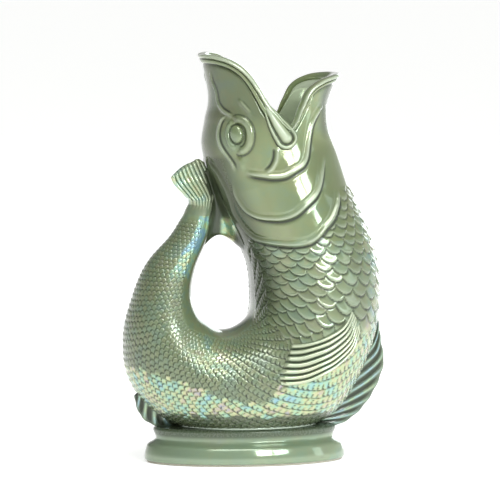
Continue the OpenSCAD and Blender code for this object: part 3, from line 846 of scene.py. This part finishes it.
# The pale colours are thin glaze and painted highlight on rims and ridges; the dark ones pooled glaze and
# painted shade
SCALE_GLAZE = glaze_material(
    "Scaled lustre glaze", glaze=(0.26, 0.325, 0.175), dark=(0.03, 0.042, 0.018), pale=(0.52, 0.62, 0.45),
    patch=0.009, pearl=0.95, per_scale=0.28, metal=0.50)
HEAD_GLAZE = glaze_material(
    "Head lustre glaze", glaze=(0.245, 0.30, 0.14), dark=(0.03, 0.042, 0.018), pale=(0.66, 0.75, 0.56),
    patch=0.016, pearl=0.60, per_scale=0.0, metal=0.45)
FIN_GLAZE = glaze_material(
    "Fin lustre glaze", glaze=(0.33, 0.41, 0.26), dark=(0.035, 0.05, 0.024), pale=(0.74, 0.82, 0.58),
    patch=0.008, pearl=0.85, per_scale=0.6, metal=0.50)
FOOT_GLAZE = glaze_material(
    "Foot lustre glaze", glaze=(0.28, 0.37, 0.24), dark=(0.035, 0.05, 0.022), pale=(0.48, 0.58, 0.46),
    patch=0.016, pearl=0.60, per_scale=0.0, metal=0.45)
BARE_CLAY = clay_material()


# Columns of faces round the body
COLUMNS = 430
# Marks of painted light: no groove, a strong pale rim and a middle tint, for shaded insides and the bead's
# highlight
PAINTED_LIGHT = (0.0, 1.9, 0.5)
SIDES = (("right", 1), ("left", -1))


def shell(name, outer, inner, hoop, material, nodes):
    """A hollow shell. Its outer grid of (points, marks, lustre) has one spare row at each end. Its inside
    gets painted light in its shade.
    """
    points, marks, lustre = outer
    normals = surface_normals(points)
    rows = len(points) - 2 + len(inner)
    faces = grid_faces(rows, COLUMNS, hoop=True) if hoop else tube_faces(rows, COLUMNS)
    make_piece(
        name, np.concatenate([points[1:-1], inner]), faces, material, nodes,
        np.concatenate([marks[1:-1], np.tile(PAINTED_LIGHT, (*inner.shape[:2], 1))]),
        np.concatenate([lustre[1:-1], np.zeros(inner.shape[:2])]),
        np.concatenate([normals, np.zeros(inner.shape)]))


def with_spare_rows(start, end, rows):
    step = (end - start) / (rows - 1)
    return np.linspace(start - step, end + step, rows + 2)


def body_shell(name, start, end, rows, inner_rows, nodes, inner_start=None):
    """A stretch of the hollow body. With inner_start it is closed at its start."""
    angles = np.arange(COLUMNS) * 360 / COLUMNS
    outer = glazed(*np.meshgrid(with_spare_rows(start, end, rows), angles, indexing="ij"))
    deepest = start if inner_start is None else inner_start
    inner = skin(*np.meshgrid(np.linspace(end, deepest, inner_rows), angles, indexing="ij"), -WALL)
    shell(name, outer, inner, inner_start is None, SCALE_GLAZE, nodes)


body_shell("scaled_tail", 0, TAIL_END, 190, 24, ["tail"], HOLLOW_END)
body_shell("scaled_belly", TAIL_END, BELLY_END, 214, 14, ["belly"])
body_shell("scaled_breast", BELLY_END, BREAST_END, 70, 8, ["breast"])


HEAD_ROWS, HEAD_INNER_ROWS = 196, 26


def head_shell():
    """The head with its plates and eyes, creased where it meets the lip, with painted shade in the crease."""
    places = np.arange(COLUMNS) * 2 * MOUTH_HALF / COLUMNS
    share, k = np.meshgrid(with_spare_rows(0, 1, HEAD_ROWS), places, indexing="ij")
    s, a = head_place(k, share)
    points, marks, lustre = glazed(s, a)
    below_lip = np.linalg.norm(points - points[-2], axis=-1)
    points = points - outward(s, a) * (0.8 * hump(below_lip, 0, 1.5))[..., None]
    marks[..., 0] = np.maximum(marks[..., 0], hump(below_lip, 0, 1.3))
    share, k = np.meshgrid(np.linspace(1, 0, HEAD_INNER_ROWS), places, indexing="ij")
    inner = skin(*head_place(k, share), -WALL)
    plates = [f"{part}_{side_name}" for part in ("collar", "gill_cover", "eye_ring", "eyeball")
              for side_name, _ in SIDES]
    shell("head_shell", (points, marks, lustre), inner, True, HEAD_GLAZE, ["head", *plates])


head_shell()

# Section of the rolled lip: share of the lip's height, and lift from the skin
LIP_SECTION = np.array([
    [-0.02, -0.6], [0.0, 0.2], [0.06, 0.95], [0.2, 1.25], [0.38, 1.2], [0.46, 0.75], [0.52, 0.95],
    [0.62, 1.75], [0.76, 2.0], [0.9, 1.5], [0.99, 0.3], [1.0, -1.2], [0.96, -2.8], [0.82, -4.2],
    [0.5, -5.0], [0.2, -4.9], [0, -4.5]])


def lip(name, first, last, node):
    """A stretch of the rolled lip, with painted shade in a crease at its foot and another below its bead, and
    a painted highlight along the bead.
    """
    steps, around = 220, 56
    k, g = np.meshgrid(np.linspace(last, first, steps), np.linspace(0, 1, around), indexing="ij")
    row = spread(LIP_SECTION, g)
    s, a = lip_place(k, row[..., 0])
    crease = hump(g, 0.30, 0.035) * 0.95 + hump(g, 0, 0.05)
    marks = np.stack([np.clip(crease, 0, 1), hump(g, 0.54, 0.07) * 1.9, 0.5 + 0 * g], -1)
    make_piece(name, skin(s, a, row[..., 1]), tube_faces(steps, around), HEAD_GLAZE, [node],
               marks)


lip("upper_lip_roll", -MOUTH_CORNER, MOUTH_CORNER, "upper_lip")
lip("lower_lip_roll", MOUTH_CORNER, 2 * MOUTH_HALF - MOUTH_CORNER, "lower_lip")


def mirrored(points, side):
    return points * np.array([1, side, 1])


def pad(name, middle, halves, tall, node, side):
    """A raised plate along a middle line, with a rolled rim round its end and a drop inside."""
    steps, around = 110, 96
    f = np.linspace(0, 1, steps)
    line = spread(middle, f)
    here, n = skin(line[:, 0], line[:, 1]), outward(line[:, 0], line[:, 1])
    across = np.cross(n, unit(np.gradient(here, axis=0)))
    bend = np.clip((f - PAD_END) / (1 - PAD_END), 0, 1)
    half = spread(halves, f)[:, 0] * (0.03 + 0.97 * np.sqrt(np.clip(1 - bend ** 2, 0, 1)))
    rings, marks = [], []
    for j in range(around):
        turn = 2 * math.pi * (j + 0.5) / around
        q = math.cos(turn)
        rho = np.sqrt(q * q * (1 - bend ** 2) + bend ** 2)
        lift, mark = -PAD_ROOT + 0 * rho, [0 * rho, 0 * rho, 0.5 + 0 * rho]
        if math.sin(turn) > 0:
            plate = np.clip(1 - rho ** 5, 0, 1) ** 0.5
            groove, drop = hump(rho, 0.56, 0.11), hump(rho, 0, 0.34)
            lift = tall * plate * (0.8 + 0.45 * drop - 0.5 * groove) * (0.4 + 0.6 * smooth(f / 0.3))
            # Painted shade in the groove and along the outline, painted highlight on the drop and the rim
            mark = [np.maximum(0.9 * groove, hump(rho, 1.0, 0.07)),
                    np.maximum(1.9 * drop, 1.2 * hump(rho, 0.8, 0.09)), 0.5 + 0 * rho]
        rings.append(here + across * (half * q)[:, None] + n * lift[:, None])
        marks.append(np.stack(mark, -1))
    faces = tube_faces(steps, around)
    if side < 0:
        faces = [face[::-1] for face in faces]
    make_piece(name, mirrored(np.stack(rings, 1), side), faces, HEAD_GLAZE, [node],
               np.stack(marks, 1))


# The share of the plate where its end starts to round off, and how far it reaches into the skin
PAD_END, PAD_ROOT = 0.78, 1.6
JAW_LINE = on_flank([
    (265, 103), (270, 113), (275.5, 122.5), (281, 131), (286.5, 139), (292, 148.5)], 13, 17.4)
JAW_HALVES = [[1.6], [3.6], [5.4], [6.7], [7.5], [7.2]]
for side_name, side in SIDES:
    pad(f"jaw_pad_{side_name}", JAW_LINE, JAW_HALVES, 2.6, f"jaw_plate_{side_name}", side)

# Lines from the root of the pectoral fin to its tip, from its upper edge to its lower one
PECTORAL_CURVES = [on_flank(curve, 7, 10.5) for curve in (
    [(352, 311), (343, 324), (329, 334), (312, 341), (292, 343)],
    [(354.5, 315), (345, 331), (330, 343), (312, 350.5), (288, 354)],
    [(357, 319), (347.5, 338), (332, 352), (313, 361.5), (284, 365)],
    [(359, 323), (349.5, 344), (334, 359.5), (314.5, 370.5), (279.5, 376)],
    [(361, 328), (351.5, 349.5), (336, 365.5), (316, 378.5), (281, 386)])]
PECTORAL_RAYS, PECTORAL_ROOT = 7, 1.2


def pectoral_fin(side_name, side):
    """A fan of ribs that lies on the flank and rises towards its tip."""
    steps, across = 110, 129
    f, g = np.linspace(0, 1, steps), np.linspace(0, 1, across)
    curves = np.stack([spread(curve, f) for curve in PECTORAL_CURVES])
    places = spread(curves.reshape(len(PECTORAL_CURVES), -1), g)
    places = places.reshape(across, steps, 2).transpose(1, 0, 2)
    s, a = places[..., 0], places[..., 1]
    f, g = np.meshgrid(f, g, indexing="ij")
    ray = np.abs(np.sin(math.pi * PECTORAL_RAYS * g)) ** 0.8
    edge = smooth(g / 0.03) * falls(g, 1, 0.03)
    rise = 0.4 + 1.0 * smooth(f / 0.5) + 2.1 * smooth(f / 0.3) * ray
    lift = rise * edge * (0.15 + 0.85 * falls(f, 1, 0.035)) * smooth(f / 0.06 + 0.15)
    outer = skin(s, a) + outward(s, a) * lift[..., None]
    # Painted shade between the ribs and painted highlight on their crests
    groove = (1 - ray) ** 1.2 * smooth(f / 0.15)
    marks = np.stack([np.clip(groove * 1.1, 0, 1), ray ** 3 * 1.6, 0.5 + 0 * g], -1)
    lustre = 0.6 * rises(g, 0.35, 0.4) * ray
    points, marks, lustre = (np.concatenate(pair, axis=1) for pair in (
        (outer, skin(s, a, -PECTORAL_ROOT)[:, ::-1]), (marks, 0 * marks), (lustre, 0 * lustre)))
    faces = tube_faces(steps, 2 * across)
    if side > 0:
        faces = [face[::-1] for face in faces]
    make_piece(f"pectoral_rays_{side_name}", mirrored(points, side), faces, FIN_GLAZE,
               [f"pectoral_fin_{side_name}"], marks, lustre)


for side_name, side in SIDES:
    pectoral_fin(side_name, side)


# How far a middle fin reaches into the body
FIN_ROOT = 1.2


def middle_fin(name, node, start, end, wide, shares, thick, rays, slant):
    """A ribbed fin in the middle plane, along the ventral line."""
    steps, levels = 20 * rays, 30
    f, m = np.meshgrid(np.linspace(0, 1, steps), np.linspace(-1, 1, 2 * levels), indexing="ij")
    g = 1 - np.abs(m)
    s = blend(start, end, f)
    reach = wide * spread(np.array(shares)[:, None], f)[..., 0]
    ray = 0.5 + 0.5 * np.cos(2 * math.pi * (rays * f + slant * rays * g))
    shown = np.sin(math.pi * np.clip(g * 1.1 - 0.05, 0, 1))
    half = thick / 2 * blend(1.15, 0.34, g ** 0.8) + 0.9 * shown * (ray ** 0.8 - 0.5)
    half = half * (0.25 + 0.75 * np.sqrt(np.clip((1 - g) * 12, 0, 1)))
    out = skin(s, 180.0 + 0 * s, -FIN_ROOT + g * (reach + FIN_ROOT + 0.5 * ray * g))
    points = np.stack([out[..., 0], -np.sign(m) * half, out[..., 2]], -1)
    # Painted shade between the rays and a darker glaze over the whole fin; painted highlight and blue painted
    # reflection on the rays
    groove = np.clip((1 - ray) ** 2 * shown + 0.5, 0, 1) * (1 - 0.9 * ray ** 5)
    marks = np.stack([groove, 0.4 * ray ** 4 * shown, 0.0 * g], -1)
    make_piece(name, points, tube_faces(steps, 2 * levels), FIN_GLAZE, [node], marks,
               ray ** 3 * shown)


middle_fin(
    "ventral_rays", "ventral_fin", start=9.65, end=7.75, wide=15.0,
    shares=[0.02, 0.18, 0.45, 0.84, 0.96, 0.94, 0.82, 0.58, 0.2], thick=7.0, rays=10, slant=0.3)
middle_fin(
    "anal_rays", "anal_fin", start=6.25, end=5.2, wide=8.0,
    shares=[0.12, 0.25, 0.7, 0.95, 0.95, 0.7, 0.3], thick=6.0, rays=5, slant=0.2)


def in_middle_plane(points):
    """x and height in the plane y = 0 of points of the picture."""
    back, right, up = camera_axes()
    eye = CAMERA_TARGET + back * CAMERA_DISTANCE
    rows = []
    for across, down in points:
        aside, above = across - PICTURE / 2, PICTURE / 2 - down
        ray = -back * CAMERA_DISTANCE + right * aside * PIXEL + up * above * PIXEL
        q = eye - ray * eye[1] / ray[1]
        rows.append([q[0], q[2]])
    return np.array(rows)


# Edges of the tail fan, from the tail's end to its tips
FAN_LEFT = in_middle_plane([
    (188.8, 204), (186.5, 199.5), (182.5, 193.8), (177.5, 188.6), (173, 183), (170.8, 177.5)])
FAN_RIGHT = in_middle_plane([(214, 205), (216.5, 198), (215, 190), (212, 181), (208.5, 172), (204, 162)])
FAN_RAYS = 9
# The share of the fan that is a sleeve round the tail, the station where it starts, and its height
FAN_SLEEVE, FAN_FROM, FAN_RISE = 0.24, 0.45, 35.0


def tail_fan():
    """The fan is a sleeve round the end of the tail that flattens into ribs."""
    steps, around = 150, 400
    turns = 2 * math.pi * (np.arange(around) + 0.5) / around
    f, turn = np.meshgrid(np.linspace(0, 1, steps), turns, indexing="ij")
    g = 0.5 + 0.5 * np.cos(turn)
    near_side = -np.sign(np.sin(turn))
    s = FAN_FROM * np.clip(1 - f / FAN_SLEEVE, 0, 1)
    sleeve = skin(s, np.degrees(turn), -0.2 + 0.45 * smooth(f / 0.16))
    sleeve = sleeve + np.array([0, 0, FAN_RISE]) * np.clip(f - FAN_SLEEVE, 0, 1)[..., None]
    h = np.clip((f - FAN_SLEEVE) / (1 - FAN_SLEEVE), 0, 1)
    crown = 0.13 * np.sin(math.pi * g) ** 0.8
    reach = np.clip(h * (1 + crown + 0.05 * rises(g, 0.72, 0.12) * falls(g, 1, 0.1)), 0, 1.2)
    place = blend(spread(FAN_LEFT, reach), spread(FAN_RIGHT, reach), g[..., None])
    ray = np.abs(np.sin(math.pi * FAN_RAYS * g)) ** 0.8
    shown = rises(f, 0.14, 0.24) * smooth(g / 0.05) * falls(g, 1, 0.05)
    round_edge = np.sin(turn) ** 2 * 0.5 + np.abs(np.sin(turn)) * 0.5
    tip = np.sqrt(np.clip((1 - f) / 0.05, 0, 1)) * 0.9 + 0.1
    half = blend(9.0, 3.0, smooth(h * 1.25)) * round_edge ** 0.8 * tip
    fan = np.stack([place[..., 0], near_side * half, place[..., 1]], -1)
    points = blend(sleeve, fan, smooth(h / 0.3)[..., None])
    points[..., 1] += near_side * (1.1 * ray - 0.75) * shown * tip
    # Painted shade between the ribs, darker glaze towards the fan's base, painted highlight on the ribs
    groove = np.clip(0.9 * (1 - ray) ** 1.6 * shown + 0.3 * falls(f, 0.34, 0.2), 0, 1)
    marks = np.stack([groove, ray ** 2 * shown, 0.5 + 0 * g], -1)
    lustre = falls(g, 0.8, 0.4) * rises(f, 0.15, 0.3) * 0.8
    make_piece("tail_fan", points, tube_faces(steps, around), FIN_GLAZE, ["tail_fin"], marks,
               lustre)


tail_fan()

# Sides of the web that joins the tail to the nape, from top to bottom
WEB_TAIL = in_middle_plane([
    (203, 172), (208, 188), (210, 202), (207, 218), (201, 236), (196, 252), (192, 262)])
WEB_NAPE = in_middle_plane([
    (208, 166), (214, 184), (221, 203), (229, 220), (238, 237), (245, 250), (250, 262)])

# Half the width of the web at its middle
WEB_HALF = 4.4


def nape_web():
    """The web between tail and nape: arched below, flared at both sides, with one patch of lustre and painted
    shade elsewhere.
    """
    steps, around = 60, 96
    turn = 2 * math.pi * (np.arange(around) + 0.5) / around
    rings = []
    for g in np.linspace(0, 1, steps):
        lowest = 1 - 0.35 * math.sin(math.pi * g) ** 0.42
        u = lowest * (0.5 - 0.5 * np.cos(turn))
        place = blend(spread(WEB_TAIL, u), spread(WEB_NAPE, u), g)
        flare = 3.2 * (1 - g) ** 5 + 9.0 * g ** 4
        half = (WEB_HALF + flare) * np.abs(np.sin(turn)) ** 0.55
        rings.append(np.stack([place[:, 0], -np.sign(np.sin(turn)) * half, place[:, 1]], -1))
    points = np.array(rings)
    patch = falls(points[..., 2], 152, 3) * rises(points[..., 0], -17, 3) * falls(points[..., 0], -6, 3)
    marks = np.stack([0.8 * (1 - patch), 0 * patch, 0.5 + 0 * patch], -1)
    make_piece("nape_web", points, tube_faces(steps, around), SCALE_GLAZE, ["tail_web"], marks,
               patch)


nape_web()

# The foot's length, depth and height, the height and width of its bare ring, and its flare
FOOT_L, FOOT_D, FOOT_H, RIM_H, RIM_W, FLARE = 125.0, 72.0, 22.0, 1.5, 7.0, 8.5
# The foot's profile from its base up: inset as a share of the flare, and share of its height
FOOT_SHARES = np.array([
    [0.04, 0.0], [0.0, 0.05], [0.0, 0.14], [0.02, 0.21], [0.07, 0.29], [0.13, 0.37], [0.20, 0.44],
    [0.36, 0.50], [0.60, 0.55], [0.77, 0.60], [0.83, 0.65], [0.81, 0.72], [0.74, 0.80], [0.68, 0.86],
    [0.66, 0.90], [0.70, 0.95], [0.9, 0.99], [1.3, 1.0]])
BEAD_HEIGHT, BEAD_RADIUS = 22.9, 1.05
FOOT_AROUND, BEAD_AROUND = 300, 16


def oval(inset, z):
    """A ring of the foot's oval at a height, this far inside its base."""
    turn = 2 * math.pi * np.arange(FOOT_AROUND) / FOOT_AROUND
    return np.stack([
        (inset - FOOT_L / 2) * np.cos(turn), (inset - FOOT_D / 2) * np.sin(turn), z + 0 * turn], -1)


def belly_outline():
    """The outline of the belly at the height of the bead."""
    s = np.linspace(5.2, 8.6, 1701)
    s = s[skin(s, 180.0)[..., 2] < BEAD_HEIGHT]
    s = blend(s[0], s[-1], 0.5 - 0.5 * np.cos(math.pi * np.linspace(0, 1, 150)))
    above, below = 90.0 + 0 * s, 180.0 + 0 * s
    for _ in range(30):
        middle = (above + below) / 2
        high = skin(s, middle)[..., 2] > BEAD_HEIGHT
        above, below = np.where(high, middle, above), np.where(high, below, middle)
    near = skin(s, above)
    line = np.concatenate([near, (near * [1, -1, 1])[-2:0:-1]])
    line[:, 2] = BEAD_HEIGHT
    return line


def foot():
    """The foot's stand, with a skirt up to the bead and a recess below."""
    steps = 90
    profile = spread(FOOT_SHARES, np.linspace(0, 1, steps))
    rings = [oval(inset * FLARE, RIM_H + share * (FOOT_H - RIM_H)) for inset, share in profile]
    line = belly_outline()
    polar = np.arctan2(line[:, 1], line[:, 0])
    order = np.argsort(polar)
    turn = np.arctan2(rings[0][:, 1], rings[0][:, 0])
    radius = np.interp(turn, polar[order], np.hypot(line[:, 0], line[:, 1])[order], period=2 * math.pi)
    for share in (1.0, 0.8):
        reach = share * radius
        rings.append(np.stack([reach * np.cos(turn), reach * np.sin(turn), BEAD_HEIGHT + 0 * turn], -1))
    rings.append(oval(RIM_W, RIM_H))
    marks = np.zeros((len(rings), FOOT_AROUND, 3))
    # Painted shade on the upper foot under the belly, darkest on the skirt up to the bead
    marks[:steps, :, 0] = 0.65 * rises(profile[:, 1:], 0.66, 0.16)
    marks[steps:steps + 2, :, 0] = 1.0
    marks[..., 2] = 0.5
    make_piece("foot_stand", rings, grid_faces(len(rings), FOOT_AROUND, hoop=True), FOOT_GLAZE, ["foot"],
               marks)


def foot_ring():
    """The bare clay ring that the jug stands on, with its lower edges worn round."""
    outer, inner = 0.16 * FLARE, RIM_W
    rings = [oval(inset, z) for inset, z in (
        (outer, RIM_H), (inner, RIM_H), (inner, 0.3), (inner - 0.4, 0), (outer + 0.5, 0), (outer + 0.1, 0.4))]
    make_piece("bare_foot_ring", rings, grid_faces(len(rings), FOOT_AROUND, hoop=True), BARE_CLAY,
               ["foot_rim"])


def foot_bead():
    """The thin bead where the belly meets the foot, along the belly's outline, with a painted highlight."""
    line = belly_outline()
    ahead = unit(np.roll(line, -1, axis=0) - np.roll(line, 1, axis=0))
    out = np.stack([-ahead[:, 1], ahead[:, 0], 0 * ahead[:, 0]], -1)
    out *= np.sign((out * line).sum(-1, keepdims=True))
    turn = (2 * math.pi * np.arange(BEAD_AROUND) / BEAD_AROUND)[None, :, None]
    radius = BEAD_RADIUS * (0.3 + 0.7 * smooth((np.abs(line[:, 1:2, None]) - 4) / 7))
    rings = line[:, None] + radius * (out[:, None] * np.cos(turn) + np.array([0, 0, 1.0]) * np.sin(turn))
    make_piece("foot_bead", rings, grid_faces(len(line), BEAD_AROUND, hoop=True), FOOT_GLAZE, ["foot"],
               np.tile(PAINTED_LIGHT, (*rings.shape[:2], 1)))


foot()
foot_bead()
foot_ring()


def light_path_share(tree):
    """1 for rays that come from the eye, a mirror or glass; 0 for the light that falls on things."""
    path = tree.nodes.new("ShaderNodeLightPath")
    seen = math_node(tree, "ADD", path.outputs["Is Camera Ray"], path.outputs["Is Glossy Ray"])
    return math_node(tree, "ADD", seen, path.outputs["Is Transmission Ray"], clamp=True)


FLOOR_REACH, FLOOR_GLOW = 30.0, 0.67


def floor():
    """A pale floor that shows white to the eye and keeps the jug's shadow."""
    mesh = bpy.data.meshes.new("floor")
    corners = [(x * FLOOR_REACH, y * FLOOR_REACH, 0) for x, y in ((-1, -1), (1, -1), (1, 1), (-1, 1))]
    mesh.from_pydata(corners, [], [(0, 1, 2, 3)])
    material = bpy.data.materials.new("Pale floor")
    material.use_nodes = True
    tree = material.node_tree
    shader = tree.nodes["Principled BSDF"]
    shader.inputs["Base Color"].default_value = (0.86, 0.86, 0.86, 1)
    shader.inputs["Roughness"].default_value = 0.7
    shader.inputs["Specular IOR Level"].default_value = 0.1
    shader.inputs["Emission Color"].default_value = (1, 1, 1, 1)
    glow = math_node(tree, "MULTIPLY", light_path_share(tree), FLOOR_GLOW)
    tree.links.new(glow, shader.inputs["Emission Strength"])
    mesh.materials.append(material)
    plane = bpy.data.objects.new("floor", mesh)
    bpy.context.scene.collection.objects.link(plane)


# The bright side of the room, and the greys of its walls from the dark side to there
BRIGHT_SIDE = (0.72, -0.35, 0.60)
WALL_GREYS = (
    (0.0, (0.10, 0.10, 0.10)), (0.45, (0.16, 0.165, 0.16)), (0.75, (0.34, 0.35, 0.33)),
    (1.0, (0.46, 0.47, 0.45)))


def world():
    """A soft room: white at the horizon, and above it grey, lighter on the window's side."""
    room = bpy.data.worlds.new("Room")
    bpy.context.scene.world = room
    room.use_nodes = True
    tree = room.node_tree
    background = tree.nodes["Background"]
    place = tree.nodes.new("ShaderNodeTexCoord").outputs["Generated"]
    towards = tree.nodes.new("ShaderNodeVectorMath")
    towards.operation = "DOT_PRODUCT"
    towards.inputs[1].default_value = BRIGHT_SIDE
    tree.links.new(place, towards.inputs[0])
    walls = ramp(tree, math_node(tree, "MULTIPLY_ADD", towards.outputs["Value"], 0.5, 0.5), WALL_GREYS)
    split = tree.nodes.new("ShaderNodeSeparateXYZ")
    tree.links.new(place, split.inputs[0])
    above = math_node(tree, "MULTIPLY_ADD", split.outputs[2], 3.5, -0.12, clamp=True)
    tree.links.new(mix_colours(tree, above, (1.0, 1.0, 1.0), walls), background.inputs["Color"])
    background.inputs["Strength"].default_value = 1.0


# Name, azimuth and elevation in degrees, distance and size in metres, power in watts, and colour
LAMPS = (
    ("window_left_pane", 17, 24, 1.5, (0.27, 0.36), 4.0, (1.0, 1.0, 1.0)),
    ("window_right_pane", 30, 24, 1.5, (0.27, 0.36), 3.4, (0.84, 0.96, 1.0)),
    ("side_window", 66, 10, 1.8, (0.35, 0.8), 1.3, (0.80, 0.94, 1.0)),
    ("rear_window", 150, 8, 2.0, (1.1, 1.0), 7.5, (0.92, 0.98, 1.0)),
    ("overhead_softbox", 8, 66, 1.5, (0.9, 0.5), 9.0, (1.0, 1.0, 1.0)),
    ("front_fill", 0, 42, 2.0, (1.6, 1.0), 4.5, (1.0, 1.0, 0.96)))
LAMP_TARGET = (0.02, 0, 0.14)


def softbox(name, azimuth, elevation, distance, size, power, colour):
    """A lamp that faces the jug's middle: azimuth 0 is the right side of the fish."""
    lamp = bpy.data.lights.new(name, "AREA")
    lamp.shape = "RECTANGLE"
    lamp.size, lamp.size_y = size
    lamp.energy = power
    lamp.color = colour
    box = bpy.data.objects.new(name, lamp)
    a, e = math.radians(azimuth), math.radians(elevation)
    way = Vector((math.sin(a) * math.cos(e), -math.cos(a) * math.cos(e), math.sin(e)))
    box.location = Vector(LAMP_TARGET) + way * distance
    box.rotation_euler = way.to_track_quat("Z", "Y").to_euler()
    bpy.context.scene.collection.objects.link(box)


SENSOR = 36.0


def camera():
    """The camera that sees the jug as the photograph does."""
    back = camera_axes()[0]
    data = bpy.data.cameras.new("camera")
    data.sensor_width = SENSOR
    data.lens = SENSOR * CAMERA_DISTANCE / (PICTURE * PIXEL)
    data.clip_end = 100.0
    eye = bpy.data.objects.new("camera", data)
    eye.location = (CAMERA_TARGET + back * CAMERA_DISTANCE) * MM
    eye.rotation_euler = Vector((-back).tolist()).to_track_quat("-Z", "Y").to_euler()
    bpy.context.scene.collection.objects.link(eye)
    bpy.context.scene.camera = eye


floor()
world()
for lamp in LAMPS:
    softbox(*lamp)
camera()
bpy.context.scene.view_settings.view_transform = "Standard"
